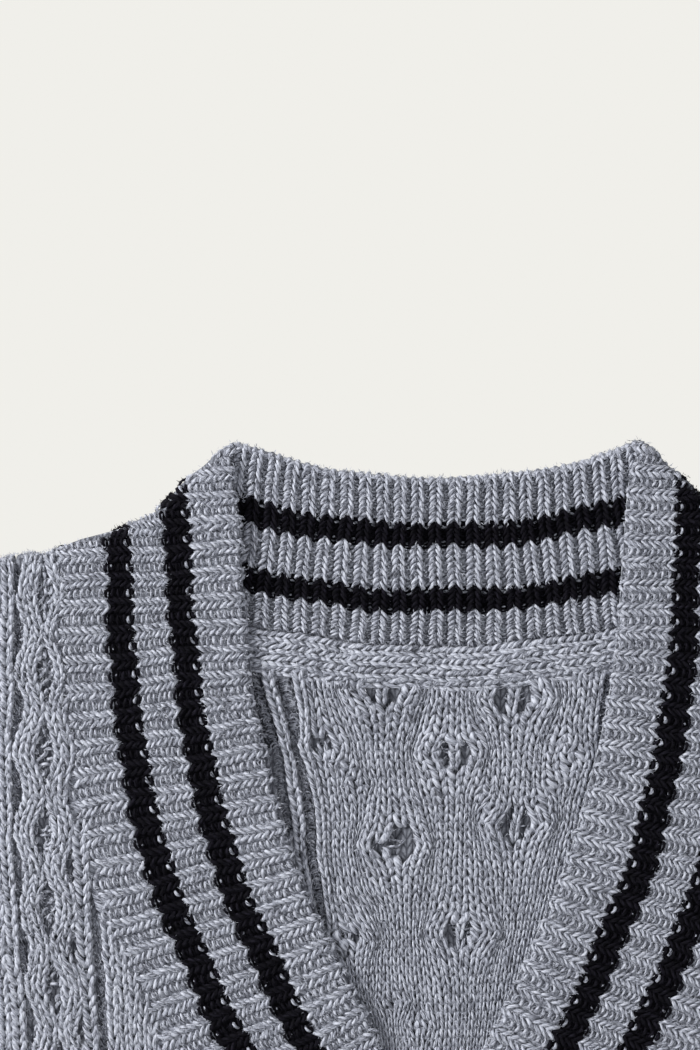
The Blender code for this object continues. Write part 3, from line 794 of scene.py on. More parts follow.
class Nodes:
    """Builds a material from nodes."""

    def __init__(self, name):
        self.material = bpy.data.materials.new(name)
        self.material.use_nodes = True
        self.tree = self.material.node_tree
        self.shader = self.tree.nodes["Principled BSDF"]

    def new(self, kind, inputs=(), **settings):
        node = self.tree.nodes.new("ShaderNode" + kind)
        for key, value in settings.items():
            setattr(node, key, value)
        for key, value in dict(inputs).items():
            if isinstance(value, bpy.types.NodeSocket):
                self.tree.links.new(value, node.inputs[key])
            else:
                node.inputs[key].default_value = value
        return node

    def math(self, operation, *values):
        return self.new("Math", dict(enumerate(values)), operation=operation).outputs[0]

    def ramp(self, factor, stops):
        node = self.new("ValToRGB", {"Fac": factor})
        marks = node.color_ramp.elements
        while len(marks) < len(stops):
            marks.new(0.5)
        for mark, (at, colour) in zip(marks, stops):
            mark.position = at
            mark.color = (*colour, 1.0)
        return node.outputs["Color"]


def yarn_material(name, stops, groove, depth, sheen, gloss):
    """Two twisted plies with fibres along them, in the colours of the stops.

    groove is the painted shade that darkens the line between the plies, and depth its relief in mm.
    """
    n = Nodes(name)
    at = n.new("Attribute", attribute_name="yarn").outputs["Vector"]
    tone = n.new("Attribute", attribute_name="tone").outputs["Fac"]
    split = n.new("SeparateXYZ", {0: at}).outputs
    twist = n.math("MULTIPLY_ADD", split[1], TWIST, split[0])
    lie = n.new("CombineXYZ", {0: twist, 1: split[1], 2: split[2]}).outputs[0]
    long = n.new("Mapping", {"Vector": lie, "Scale": FIBRE_SCALE}).outputs[0]
    fibres = n.new("TexNoise", {"Vector": long, "Scale": 1.0, "Detail": 3.0, "Roughness": 0.65})
    short = n.new("Mapping", {"Vector": lie, "Scale": FLECK_SCALE}).outputs[0]
    flecks = n.new("TexNoise", {"Vector": short, "Scale": 1.0, "Detail": 2.0, "Roughness": 0.5})
    turn = n.math("MULTIPLY", twist, 2 * math.pi / PLY_WIDTH)
    ply = n.math("ABSOLUTE", n.math("SINE", n.math("MULTIPLY", turn, 0.5)))
    body = n.math("POWER", ply, PLY_POWER)
    mix = n.math("MULTIPLY_ADD", fibres.outputs["Fac"], FIBRE_GAIN, MIX_FROM)
    mix = n.math("MULTIPLY_ADD", flecks.outputs["Fac"], FLECK_GAIN, mix)
    mix = n.math("MULTIPLY_ADD", tone, TONE_GAIN, mix)
    colour = n.ramp(mix, stops)
    # painted shade along the groove between the plies
    shade = n.math("MULTIPLY_ADD", body, groove, 1.0 - groove)
    darker = n.new("Mix", {"Factor": 1.0, 6: colour}, data_type="RGBA", blend_type="MULTIPLY")
    grey = n.new("CombineColor", {0: shade, 1: shade, 2: shade}).outputs[0]
    n.tree.links.new(grey, darker.inputs[7])
    n.tree.links.new(darker.outputs[2], n.shader.inputs["Base Color"])
    height = n.math("MULTIPLY_ADD", fibres.outputs["Fac"], FIBRE_RELIEF, body)
    raised = n.new("Bump", {"Height": height, "Strength": 0.9, "Distance": depth * MM})
    n.tree.links.new(raised.outputs[0], n.shader.inputs["Normal"])
    n.shader.inputs["Roughness"].default_value = 0.85
    n.shader.inputs["Specular IOR Level"].default_value = gloss
    n.shader.inputs["Sheen Weight"].default_value = sheen
    n.shader.inputs["Sheen Roughness"].default_value = 0.5
    return n.material


def cloth_material(name, stops, depth):
    """Plain knit drawn in the surface: the cloth behind the yarn and its plain outside."""
    n = Nodes(name)
    at = n.new("TexCoord").outputs["Object"]
    split = n.new("SeparateXYZ", {0: at}).outputs
    x = n.math("DIVIDE", split[0], WALE * MM)
    y = n.math("DIVIDE", split[1], COURSE * MM)
    off = n.math("PINGPONG", x, 0.5)
    lean = n.math("MULTIPLY_ADD", off, CLOTH_SLANT, y)
    leg = n.math("ABSOLUTE", n.math("SINE", n.math("MULTIPLY", lean, math.pi)))
    side = n.math("SINE", n.math("MULTIPLY", off, 2 * math.pi))
    tall = n.math("POWER", leg, 0.6)
    body = n.math("MULTIPLY", tall, n.math("POWER", n.math("ABSOLUTE", side), 0.5))
    settings = {"Vector": at, "Scale": CLOTH_NOISE_SCALE, "Detail": 3.0, "Roughness": 0.6}
    noise = n.new("TexNoise", settings)
    # the drawn legs are lighter than the gaps between them: painted shade in the gaps
    mix = n.math("MULTIPLY_ADD", body, 0.5, n.math("MULTIPLY", noise.outputs["Fac"], 0.6))
    n.tree.links.new(n.ramp(mix, stops), n.shader.inputs["Base Color"])
    height = n.math("MULTIPLY_ADD", noise.outputs["Fac"], 0.3, body)
    raised = n.new("Bump", {"Height": height, "Strength": 0.8, "Distance": depth * MM})
    n.tree.links.new(raised.outputs[0], n.shader.inputs["Normal"])
    n.shader.inputs["Roughness"].default_value = 0.95
    n.shader.inputs["Specular IOR Level"].default_value = 0.15
    return n.material


GREY_STOPS = (
    (0.00, (0.018, 0.019, 0.024)),
    (0.10, (0.070, 0.073, 0.089)),
    (0.36, (0.207, 0.216, 0.254)),
    (0.56, (0.372, 0.389, 0.445)),
    (0.80, (0.468, 0.484, 0.538)),
)
NAVY_STOPS = (
    (0.20, (0.0008, 0.0006, 0.0016)),
    (0.55, (0.0024, 0.0020, 0.0042)),
    (0.85, (0.0080, 0.0070, 0.0120)),
)
# The cloth behind the yarn is drawn dark: painted shade of the gaps between the stitches.
BEHIND_SHADE_STOPS = (
    (0.20, (0.030, 0.031, 0.038)),
    (0.60, (0.105, 0.110, 0.130)),
    (0.90, (0.220, 0.230, 0.260)),
)
OUTSIDE_STOPS = (
    (0.10, (0.060, 0.064, 0.078)),
    (0.45, (0.230, 0.240, 0.275)),
    (0.95, (0.580, 0.600, 0.650)),
)
grey = yarn_material(
    "heathered_grey_yarn", GREY_STOPS, groove=0.26, depth=0.34, sheen=0.14, gloss=0.18
)
navy = yarn_material("navy_yarn", NAVY_STOPS, groove=0.30, depth=0.34, sheen=0.0, gloss=0.10)
behind = cloth_material("grey_cloth_behind_the_yarn", BEHIND_SHADE_STOPS, depth=0.5)
outside = cloth_material("grey_knit", OUTSIDE_STOPS, depth=1.2)
YARNS = (grey, navy)


# --- Neckband -----------------------------------------------------------------------------

LINE_STEP = 0.25  # ribs from one line of a band's patch to the next
FIRST_RIB = 1.6  # mm from the foot of the mitre to the first rib
PAST_TOP = 14.0  # how far the ribs run on beyond the shoulder's high point
LEAST_SLIP = 0.5  # keeps ribs apart where they run nearly along the edge
EDGE_COURSE, BACK_EDGE_COURSE = 2.6, 2.5  # mm of each course beyond the free edge
FOLD_DROP = 0.9  # how steeply what lies past a fold goes down
HEAD_AT, LAST_HEAD_AT, BEAD_AT = 1.3, 1.05, 1.75  # courses from a purl stitch's own course
FOOT_AT, DOT_AT = -0.15, -0.6
BEAD_LIFT, BEAD_SHADE = 0.1, -2.0
DOT_LIFT, DOT_SHADE = 0.35, -4.0


def across_share(c, table):
    """How far across the band a course lies."""
    return np.interp(c, KEY_COURSES, table) + np.where(c > COURSES, (c - COURSES) / COURSES, 0.0)


def is_dark(course):
    """Whether a course is knitted in the dark yarn."""
    course = np.floor(np.asarray(course) + 1e-6)
    found = np.zeros(np.shape(course), bool)
    for low, high in STRIPES:
        found |= (course >= low) & (course < high)
    return found


def fold_over(p, z):
    """Points of the front layer beyond the shoulder fold, brought round it and down."""
    height = np.interp(np.abs(p[:, 0]), *SHOULDER_LINE.T, left=1e3) - FOLD_IN
    past = p[:, 1] - height
    over = past > 0
    p, z = p.copy(), z.copy()
    p[over, 1] = height[over] + FOLD_IN * np.sin(np.minimum(past[over] / FOLD_IN, math.pi / 2))
    z[over] = FRONT_REST + LEAST_EDGE - FOLD_DROP * past[over]
    return p, z


def front_band(side):
    """Patch of one side of the V, and for each rib line its first and last course."""
    inner = np.vstack([np.array([MITRE_FOOT]), v_edge(side, 2.0)])
    seam = neck_seam(side, 4.0)
    longer = np.vstack([seam, seam[-1] + (side * 0.5, 60.0)])
    along = far_along(inner)
    heights = [row[0] for row in RIB_TILT]
    tilts = [row[1] for row in RIB_TILT]
    courses = np.arange(-2.0, COURSES + 1.5)
    rows, lines, first, last = [], [], [], []
    at, s = FIRST_RIB, 0.0
    at_point = along[1]
    whole = None
    starts = []
    while at < along[-1] + PAST_TOP:
        if at <= along[-1]:
            start = np.array([np.interp(at, along, inner[:, k]) for k in range(2)])
        else:
            end = inner[-1] - inner[-2]
            start = inner[-1] + end / np.linalg.norm(end) * (at - along[-1])
        tilt = math.radians(np.interp(start[1], heights, tilts))
        way = np.array([side * math.cos(tilt), -math.sin(tilt)])
        length = first_hit(start, way, longer)
        starts.append((start, way, length, at, s))
        if whole is None and at >= at_point:
            whole = length
        step = BAND_PITCH[side] * LINE_STEP
        ahead = np.array([np.interp(at + step, along, inner[:, j]) for j in range(2)]) - start
        if at + step > along[-1]:
            ahead = np.array([0.0, 1.0])
        slip = abs(ahead[0] * way[1] - ahead[1] * way[0]) / np.linalg.norm(ahead)
        at += step / max(slip, LEAST_SLIP)
        s += LINE_STEP
    for start, way, length, at, s in starts:
        free = at >= at_point
        radius = EDGE_ROUND if free else 0.0
        full = length if free else whole
        low, high = SHARE_HEIGHTS
        mix = np.clip((start[1] - low) / (high - low), 0.0, 1.0)
        table = np.array(SHARES_LOW[side]) * (1 - mix) + np.array(SHARES_HIGH[side]) * mix
        share = across_share(courses, table)
        extra = radius * (math.pi / 2 - 1)
        far = (full + extra) * share - (full - length)
        far = np.where(courses < 0, courses * EDGE_COURSE - (full - length), far)
        if free:
            into, down = round_edge(far, radius)
        else:
            into, down = far, np.zeros(len(far))
            first_course = np.interp(0.0, far, courses)
        first.append(-0.8 if free else first_course + 0.15)
        p = start + way * into[:, None]
        lines.append((p, down))
        past = p[:, 1] > np.interp(np.abs(p[:, 0]), *SHOULDER_LINE.T, left=1e3)
        last.append(courses[past].min() + 0.8 if past.any() else float(COURSES))
    p = np.array([line[0] for line in lines])
    down = np.array([line[1] for line in lines])
    flat = p.reshape(-1, 2)
    z = top_of(flat, True, RIB_TOP, [seam]) - down.reshape(-1)
    flat, z = fold_over(flat, z)
    points = raised(flat, z).reshape(*p.shape[:2], 3)
    s = np.array([row[4] for row in starts])
    return Patch(s, courses, points), np.array(first), np.array(last), s


def back_band():
    """Patch of the band behind the neck, from its free edge down to its seam."""
    seam = back_seam(2.0)
    edge = smooth(mirrored(BACK_EDGE[::-1], -1) + mirrored(BACK_EDGE[1:], 1), 2.0)
    courses = np.arange(-2.0, COURSES + 1.5)
    s = np.arange(-1.0, BACK_RIBS + 1.01, LINE_STEP)
    points = []
    for at in 2.0 * s / BACK_RIBS - 1.0:
        end_mix = min(abs(at), 1.0) ** 5
        table = np.array(SHARES_BACK) * (1 - end_mix) + np.array(SHARES_BACK_END) * end_mix
        share = across_share(courses, table)
        low, high = BACK_FAN * at, BACK_EDGE[-1][0] * at
        start = np.array([high, np.interp(high, edge[:, 0], edge[:, 1])])
        end = np.array([low, np.interp(low, seam[:, 0], seam[:, 1])])
        length = np.linalg.norm(end - start)
        extra = EDGE_ROUND * (math.pi / 2 - 1)
        far = np.where(courses < 0, courses * BACK_EDGE_COURSE, (length + extra) * share)
        into, down = round_edge(far, EDGE_ROUND)
        p = start + (end - start) / length * into[:, None]
        z = top_of(p, False, RIB_TOP, [seam]) - down
        points.append(raised(p, z))
    return Patch(s, courses, points)


def rib(stitches, patch, columns, courses, limits, shapes, lifts):
    """1x1 rib: a knit column in the middle of each rib and a purl one between two ribs.

    Where the yarn changes from light to dark, a light bead shows in each purl column, and where
    it changes back, a dot does.
    """
    knit_lift, sunk, foot = lifts
    before_dark = [low - 1 for low, high in STRIPES]
    after_dark = [high for low, high in STRIPES]
    for k in columns:
        for s, kind in ((k + 0.5, "knit"), (k, "purl")):
            low, high = limits(s)
            c = courses[(courses >= low) & (courses <= high)]
            at = np.full(len(c), float(s))
            if kind == "knit":
                stitches.add(patch, shapes["knit"], at, c, knit_lift, is_dark(c))
                continue
            if "foot" not in shapes:
                stitches.add(patch, shapes["head"], at, c + HEAD_AT, sunk, is_dark(c))
                continue
            purls = [("head", ~np.isin(c, before_dark), HEAD_AT, sunk, None, {})]
            purls.append(("head", ~purls[0][1], LAST_HEAD_AT, sunk, 1, {}))
            beads = {"shade": BEAD_SHADE, "bald": True}
            purls.append(("bead", ~purls[0][1], BEAD_AT, sunk + BEAD_LIFT, 0, beads))
            purls.append(("foot", ~np.isin(c, after_dark), FOOT_AT, sunk + foot, None, {}))
            dots = {"shade": DOT_SHADE, "bald": True}
            purls.append(("dot", ~purls[3][1], DOT_AT, sunk + DOT_LIFT, 0, dots))
            for shape, mine, ahead, lift, dark, settings in purls:
                yarns = is_dark(c[mine]) if dark is None else np.full(mine.sum(), dark)
                stitches.add(patch, shapes[shape], at[mine], c[mine] + ahead, lift, yarns, **settings)


def edge_cord(stitches, patch, shape, columns, place, lift):
    """The row of slanting loops that finishes a free edge."""
    s = np.arange(columns[0], columns[1], EDGE_LOOP)
    stitches.add(patch, shape, s, np.full(len(s), place), lift, loose=0.5)


def rib_shapes(pitch, course, share, knit_settings, bumps):
    """The stitches of a fine rib: the V of its knit column, and the purl column's bumps."""
    settings = {**FINE_YARN, **knit_settings}
    v = variants(knit, share * pitch, course, start=0.3, dip=1.3, **settings)
    shapes = {"knit": across_pitch(v, share)}
    for name, width, thick, arch, spin, rings, sides in bumps:
        shapes[name] = variants(
            bump, width * pitch, course, thick, arch=arch, rings=rings, sides=sides, wale=pitch,
            spin=spin,
        )
    return shapes


BAND_COURSE = 2.64
BAND_SHARE = 0.52  # of a rib's pitch that its knit column takes
BAND_KNIT = {"thick": 1.6, "lean": 0.44, "reach": 1.15, "foot": 0.03}
BAND_BUMPS = (  # name, width as a share of the pitch, thickness, arch, spin, rings, sides
    ("head", 0.36, 1.35, 0.15, 0.25, 5, 4),
    ("foot", 0.30, 0.8, -0.2, 0.5, 4, 3),
    ("bead", 0.26, 1.4, 0.1, 0.4, 5, 4),
    ("dot", 0.12, 0.8, 0.0, 0.8, 5, 4),
)
BAND_LIFTS = (0.35, 0.25, -0.7)  # of the knit column, the purl one, and its feet over its heads
# the tone of each laid cloth below darkens it as painted shade under the stitches
BAND_CLOTH = {"sink": 0.85, "swell_by": 0.35, "tone": -2.5}
PLAIN_SHARE = 0.46
PLAIN_LIFTS = (0.6, 0.2, 0.0)
FINE_FROM = 135.0  # ribs are knitted plainly below this height, well below the photo's edge
BACK_PITCH = 8.2
BACK_COURSE = 2.45
BACK_SHARE = 0.74
BACK_KNIT = {"thick": 1.5, "lean": 0.37, "reach": 1.2, "foot": 0.06}
BACK_BUMPS = (
    ("head", 0.40, 1.2, 0.22, 0.3, 5, 4),
    ("foot", 0.34, 0.9, -0.1, 0.4, 4, 3),
    ("bead", 0.30, 1.1, 0.0, 0.2, 5, 4),
    ("dot", 0.20, 0.9, 0.0, 0.5, 5, 4),
)
BACK_LIFTS = (0.65, -1.2, -0.4)
# its laid cloth is darkened as painted shade under the stitches
BACK_CLOTH = {"sink": 1.4, "swell_by": 0.9, "tone": -4.0}
CORD_LENGTH, CORD_THICK = 3.6, 1.7
CORDS = ((0.0, -0.3, 0.3), (0.1, 0.3, 0.6))  # first rib, course and lift of each row of loops

band_pieces = {}
for side, name in ((-1, "left"), (1, "right")):
    patch, first, last, lines = front_band(side)
    made = Stitches("neckband_stitches_front_" + name)
    pitch = BAND_PITCH[side]
    fine_rib = rib_shapes(pitch, BAND_COURSE, BAND_SHARE, BAND_KNIT, BAND_BUMPS)
    v = knit(PLAIN_SHARE * pitch, BAND_COURSE, 2.3, **COARSE_YARN)
    plain_rib = {
        "knit": across_pitch(v, PLAIN_SHARE),
        "head": bump(0.56 * pitch, BAND_COURSE, 1.9, rings=3, sides=3, wale=pitch),
    }
    courses = np.arange(-1.0, COURSES)
    top = int(math.floor(lines[-1]))

    def limits(s):
        return np.interp(s, lines, first), np.interp(s, lines, last)

    height = [patch.at(np.array([k + 0.5]), np.array([10.0]))[0][0, 1] for k in range(top)]
    near = [k for k in range(top) if height[k] > FINE_FROM]
    away = [k for k in range(top) if height[k] <= FINE_FROM]
    rib(made, patch, near, courses, limits, fine_rib, BAND_LIFTS)
    rib(made, patch, away, courses, limits, plain_rib, PLAIN_LIFTS)
    made.lay(patch, near[0], near[-1] + 1.0, **BAND_CLOTH)
    band_pieces[name] = made

patch = back_band()
made = Stitches("neckband_stitches_back")
back_rib = rib_shapes(BACK_PITCH, BACK_COURSE, BACK_SHARE, BACK_KNIT, BACK_BUMPS)
courses = np.arange(-1.0, COURSES - 1)
rib(made, patch, range(BACK_RIBS), courses, lambda s: (-1.0, COURSES), back_rib, BACK_LIFTS)
made.lay(patch, 0.0, float(BACK_RIBS), turned=False, **BACK_CLOTH)
loop = across_pitch(variants(bar, CORD_LENGTH, CORD_THICK), 1.0 / BACK_PITCH)
for first, course, lift in CORDS:
    edge_cord(made, patch, loop, (first, BACK_RIBS), course, lift)
band_pieces["back"] = made


# --- Inside of the back -------------------------------------------------------------------

OPENING_EDGE = 2.0  # mm of yarn beside an opening's half width
OPENING_REACH = (1.9, 5.0)  # its half height times the first, and mm more: columns bend so far
SLIT_REACH = 2.4  # the first of these for a slit
PART_SHARP, PART_FADE = 5.0, 0.7  # how sharply the columns part, and how soon this fades
FAN, FAN_FADE = 1.25, 0.32  # the wider fan of columns round an opening
OPENING_RIDGES = ((0.30, 1.1, 0.18), (-0.16, 2.0, 0.20))  # rise, where it is, and breadth


def parted(x, y):
    """Columns of the back's inside moved apart round its openings, and how far they rise."""
    moved, rise = x.copy(), np.zeros_like(x)
    scale, more = OPENING_REACH
    openings = [(gx, gy, w, h, scale * h + more) for gx, gy, w, h in GAPS]
    openings += [(gx, gy, *SLOT_HALF, SLIT_REACH * SLOT_HALF[1]) for gx, gy in SLOTS]
    for gx, gy, w, h, reach in openings:
        d = (x - gx) / (w + OPENING_EDGE)
        high = np.abs(y - gy)
        split = np.clip(1.0 - high / h, 0.0, 1.0)
        tent = np.clip(1.0 - high / reach, 0.0, 1.0)
        moved += w * np.tanh(PART_SHARP * d) * np.exp(-PART_FADE * np.abs(d)) * split
        moved += FAN * w * d * np.exp(-FAN_FADE * d * d) * tent
        for height, place, breadth in OPENING_RIDGES:
            rise += height * w * tent * np.exp(-((np.abs(d) - place) ** 2) / breadth)
    return moved, rise


INNER_FOOT = 118.5  # height of the lowest course that is knitted inside
INNER_HALF = 18.0  # columns knitted on each side of the middle
INNER_COURSES = 62.0
FURROW_CELLS = (-12.5, 14.5)  # the sunken columns
FURROW_FROM = 225.0
FURROW_PULL = 1.3  # power by which the columns follow the furrow beside them
RIDGE_CELL = -13.5
RIDGE_SHIFT = 2.6  # near the seam the ridge beside the furrow lies this much further out
RIDGE_FROM, RIDGE_REACH = 300.0, 36.0
DARK_CELL = -14.5  # the columns out from here lie sunken in a painted shadow beside the V's edge; it closes at DARK_END, where the edge of the V comes to it
DARK_END = 268.0
UNDER_BAND = 9.0  # how far the inside is knitted on under the band
SEAM_GAP = 1.5  # and how far below the seam's ridge it ends
TORN = 1.55  # a stitch drawn wider than this has parted
HALF_STITCH = 0.4  # columns to each side of its middle, where its width is measured
OPEN_SHARE = 0.85  # of an opening's diamond, which has no stitch of the parted columns
DIM_MARGIN = (2.0, 3.0)  # mm by which the stitches deep in it, dimmed as painted shade, reach past its edge
# the stitches deep in an opening are darkened: painted shade
DIM = {"lift": -0.8, "loose": 0.8, "shade": -0.8}
INNER_LIFT, RIDGE_LIFT = 0.35, 0.8
CURL_STEPS = (  # courses ahead, shade: the small bumps that fill a sunken column, most of them darkened as painted shade
    (0.0, 0.0), (0.17, -4.0), (0.33, -4.0), (0.5, 0.0), (0.67, -4.0), (0.83, -4.0)
)
CURL_LIFT, DARK_LIFT = -0.9, -1.1
FURROW_CLOTH = {"sink": 1.4, "striped": False, "turned": False}
# painted shade of the laid cloth in the furrows, and a painted shadow in the columns beside the V's
# edge
FURROW_SHADE_TONE, SHADOW_TONE = -9.0, -13.0
THREADS = (-0.12, 0.12)  # where threads cross an opening, by its half height
THREAD_REACH = 1.7  # their length, by its half width


def inner_patch(opened):
    """Columns of the back's inside, which part round its openings if it is opened."""
    s = np.arange(-INNER_HALF, INNER_HALF + 0.01, 0.5)
    c = np.arange(0.0, INNER_COURSES + 0.01, 0.5)
    left = np.array([(row[0], -row[1]) for row in FURROW][::-1])
    right = np.array([(row[0], row[2]) for row in FURROW][::-1])
    grid_s, grid_c = np.meshgrid(s, c, indexing="ij")
    y = INNER_FOOT + grid_c * INNER_COURSE
    x = grid_s * INNER_WALE
    for line, side in ((left, -1), (right, 1)):
        place = np.interp(y, line[:, 0], line[:, 1])
        top = line[-1, 1]
        pull = np.clip(side * x / abs(top), 0.0, 1.0)
        x = x + (place - top) * pull**FURROW_PULL * (side * x > 0)
    near_seam = np.clip((y - RIDGE_FROM) / RIDGE_REACH, 0.0, 1.0)
    x = x - RIDGE_SHIFT * near_seam * (grid_s < FURROW_CELLS[0] - 0.4)
    rise = 0.0
    if opened:
        x, rise = parted(x, y)
    flat = np.stack([x.ravel(), y.ravel()], axis=1)
    z = top_of(flat, False, PANEL_WALL, folded=False).reshape(x.shape) + rise
    return Patch(s, c, np.stack([x, y, z], axis=-1))


def plain_patch():
    """The inside of the back without its columns: places on it are x and y in mm."""
    s, c = np.arange(-120.0, 121.0, 20.0), np.arange(140.0, 381.0, 20.0)
    x, y = np.meshgrid(s, c, indexing="ij")
    return Patch(s, c, np.stack([x, y, np.full(x.shape, PANEL_WALL)], axis=-1))


def in_openings(at, share, margin=(0.0, 0.0)):
    """Whether places lie in the diamonds of the openings."""
    found = np.zeros(len(at), bool)
    for gx, gy, w, h in GAPS:
        aside = np.abs(at[:, 0] - gx) / (w + margin[0])
        found |= aside + np.abs(at[:, 1] - gy) / (h + margin[1]) < share
    return found


inner = inner_patch(True)
closed = inner_patch(False)
plain_inner = plain_patch()
inner_stitches = Stitches("back_panel_stitches")
v = variants(
    knit, INNER_WALE, INNER_COURSE, 2.3, lean=0.28, reach=1.25, foot=0.105, start=0.34,
    rough=0.8, dip=1.25, **FINE_YARN,
)
curl = variants(
    bump, 0.85 * INNER_WALE, INNER_COURSE, 0.8, arch=0.3, sides=3, wale=INNER_WALE, spin=1.0
)
seam_line = back_seam(4.0)
cells, courses = np.arange(-INNER_HALF, INNER_HALF), np.arange(0.0, INNER_COURSES - 1)
grid_s, grid_c = np.meshgrid(cells, courses, indexing="ij")
grid_s, grid_c = grid_s.ravel() + 0.5, grid_c.ravel()
at, _ = inner.at(grid_s, grid_c + 0.5)
keep = at[:, 1] < np.interp(at[:, 0], *seam_line.T) - SEAM_RIDGE - SEAM_GAP
for side in (-1, 1):
    edge = v_edge(side, 4.0)
    keep &= side * at[:, 0] < side * np.interp(at[:, 1], edge[:, 1], edge[:, 0]) + UNDER_BAND
furrow = np.isin(grid_s, FURROW_CELLS) & (at[:, 1] > FURROW_FROM)
furrow |= (grid_s <= DARK_CELL) & (at[:, 1] > DARK_END)
beside, _ = inner.at(grid_s - HALF_STITCH, grid_c + 0.5)
other, _ = inner.at(grid_s + HALF_STITCH, grid_c + 0.5)
gap = np.linalg.norm(other - beside, axis=1) > TORN * 2 * HALF_STITCH * INNER_WALE
gap |= in_openings(at, OPEN_SHARE)
plain = keep & ~furrow & ~gap
lift = RIDGE_LIFT * np.isin(grid_s, (RIDGE_CELL, FURROW_CELLS[0] + 1)) + INNER_LIFT
inner_stitches.add(inner, v, grid_s[plain], grid_c[plain], lift[plain], loose=0.4, shade=-1.0)
dim = keep & in_openings(at, 1.0, DIM_MARGIN)
inner_stitches.add(closed, v, grid_s[dim], grid_c[dim], **DIM)
sunk = keep & furrow
deep = np.where(grid_s[sunk] <= DARK_CELL, DARK_LIFT, CURL_LIFT)
for step, shade in CURL_STEPS:
    inner_stitches.add(inner, curl, grid_s[sunk], grid_c[sunk] + step, deep, loose=1.6, shade=shade)
# the furrows' cloth takes painted shade, the strip beside the V's edge a painted shadow
for cell in FURROW_CELLS:
    inner_stitches.lay(inner, cell - 0.5, cell + 0.5, tone=FURROW_SHADE_TONE, **FURROW_CLOTH)
inner_stitches.lay(inner, -INNER_HALF, DARK_CELL + 0.5, tone=SHADOW_TONE, **FURROW_CLOTH)
# Threads across each opening lie deep in it and are darkened as painted shade.
for gx, gy, w, h in GAPS:
    for share in THREADS:
        slant = 1.2 * math.sin(9.0 * gx * share)
        thread = variants(bar, THREAD_REACH * w, 0.9, sag=0.9, slant=slant, rough=2.0)
        place = np.array([gx + 0.5 * math.sin(5.0 * share)]), np.array([gy + share * h])
        inner_stitches.add(plain_inner, thread, *place, -0.9, loose=1.0, shade=-4.0)


def seam_patch():
    """The chains that run along the seam below the band behind the neck."""
    line = back_seam(2.0)
    line = line[np.abs(line[:, 0]) < SEAM_HALF]
    along = unit(np.gradient(line, axis=0))
    down = np.stack([along[:, 1], -along[:, 0]], axis=1)
    far = far_along(line)
    s = np.arange(-0.25, CHAINS + 0.26, 0.25)
    points = []
    for k in s:
        p = line + down * (k * CHAIN_WIDTH - SEAM_TUCK)
        ridge = SEAM_RISE * math.sin(math.pi * min(max(k / CHAINS, 0.0), 1.0)) ** 0.6
        z = np.full(len(p), PANEL_WALL + SEAM_LIFT + ridge)
        points.append(raised(p, z))
    return Patch(s, far / CHAIN_STEP, points), far[-1] / CHAIN_STEP


CHAINS = 3.5
CHAIN_WIDTH = 5.0
CHAIN_STEP = 3.3
CHAIN_STAGGER = 0.35  # stitches by which each chain starts after the one above it
SEAM_HALF = 104.0
SEAM_TUCK = 0.8  # mm of the first chain that lie under the band
SEAM_LIFT, SEAM_RISE = 0.4, 1.4  # at the seam's edges, and how much more in its middle
seam, count = seam_patch()
chain = variants(
    knit, CHAIN_WIDTH, CHAIN_STEP, 1.95, lean=0.36, reach=1.3, start=0.35, **FINE_YARN
)
# the cloth under the seam's chains is darkened as painted shade
inner_stitches.lay(seam, 0.0, CHAINS, 0.7, tone=-2.0, striped=False)
stitches_along = np.arange(0.0, count - 1)
for k in np.arange(0.5, CHAINS):
    c = stitches_along + CHAIN_STAGGER * k
    inner_stitches.add(seam, chain, np.full(len(c), k), c, 0.3, loose=1.0)
last_chain = np.full(len(stitches_along), CHAINS - 0.1)
inner_stitches.add(seam, chain, last_chain, stitches_along, -0.3, loose=1.0)


# --- Front --------------------------------------------------------------------------------

# Column lines of the front, out from the middle: plain wales, a furrow, a wide column, the
# cable's ground, a furrow, a column, and plain wales again out to the side fold.
COLUMN_LINES = np.array(
    [WALE * k for k in range(30)] + [153.2, 161.0, 166.7, 172.3, 178.0, 183.8, 186.3, 192.2]
)
OUTER = 12  # plain wales between the last of these lines and the side fold
FURROWS = (29, 35)
CABLE_GROUND = (31, 32, 33, 34)
WIDE = 30
OVER_FOLD = 1.5  # stitches start this far past the shoulder fold
ROWS = 178  # courses of the front
FOLD_TOP = 360.0  # only above this height do the stitches need the shoulder fold
WRAPS = 3  # wales that go round the side fold
WRAP_WALE, WRAP_RADIUS, WRAP_END = 5.3, 5.2, math.pi * 0.92
SIDE_REACH, SIDE_DROP = 6.0, 4.4
LEAN_POWER, LEAN_FOOT = 1.3, 120.0  # the lean fades out from this height down to 0
LEAN_IN, LEAN_OUT = (120.0, 25.0), (230.0, 40.0)  # where it starts and ends, and over how much


def body_outline():
    """Outline of the front panel."""
    neck = np.vstack([neck_seam(-1, 6.0)[::-1], neck_seam(1, 6.0)[1:]])
    flanks = []
    for side in (1, -1):
        tip = SHOULDER_LINE[(SHOULDER_LINE[:, 0] >= 167.0) & (SHOULDER_LINE[:, 0] <= 204.0)]
        tip = tip + (0.0, OVER_FOLD)
        whole = np.vstack([tip, smooth(ARMHOLE_SEAM, 6.0), smooth(SIDE, 30.0)])
        flanks.append(whole * (side, 1))
    return np.vstack([neck, flanks[0], flanks[1][::-1]])[::-1]


def leaning(x, y):
    """How far the columns of the left front have swung to the right, low down."""
    low = np.clip((LEAN_FROM - y) / LEAN_REACH, 0.0, 1.0) ** LEAN_POWER
    fade = np.clip(y / LEAN_FOOT, 0.0, 1.0)
    out = np.abs(x)
    beside = np.clip((out - LEAN_IN[0]) / LEAN_IN[1], 0.0, 1.0)
    beside *= np.clip((LEAN_OUT[0] - out) / LEAN_OUT[1], 0.0, 1.0)
    return LEAN * low * fade * beside * (x < 0)


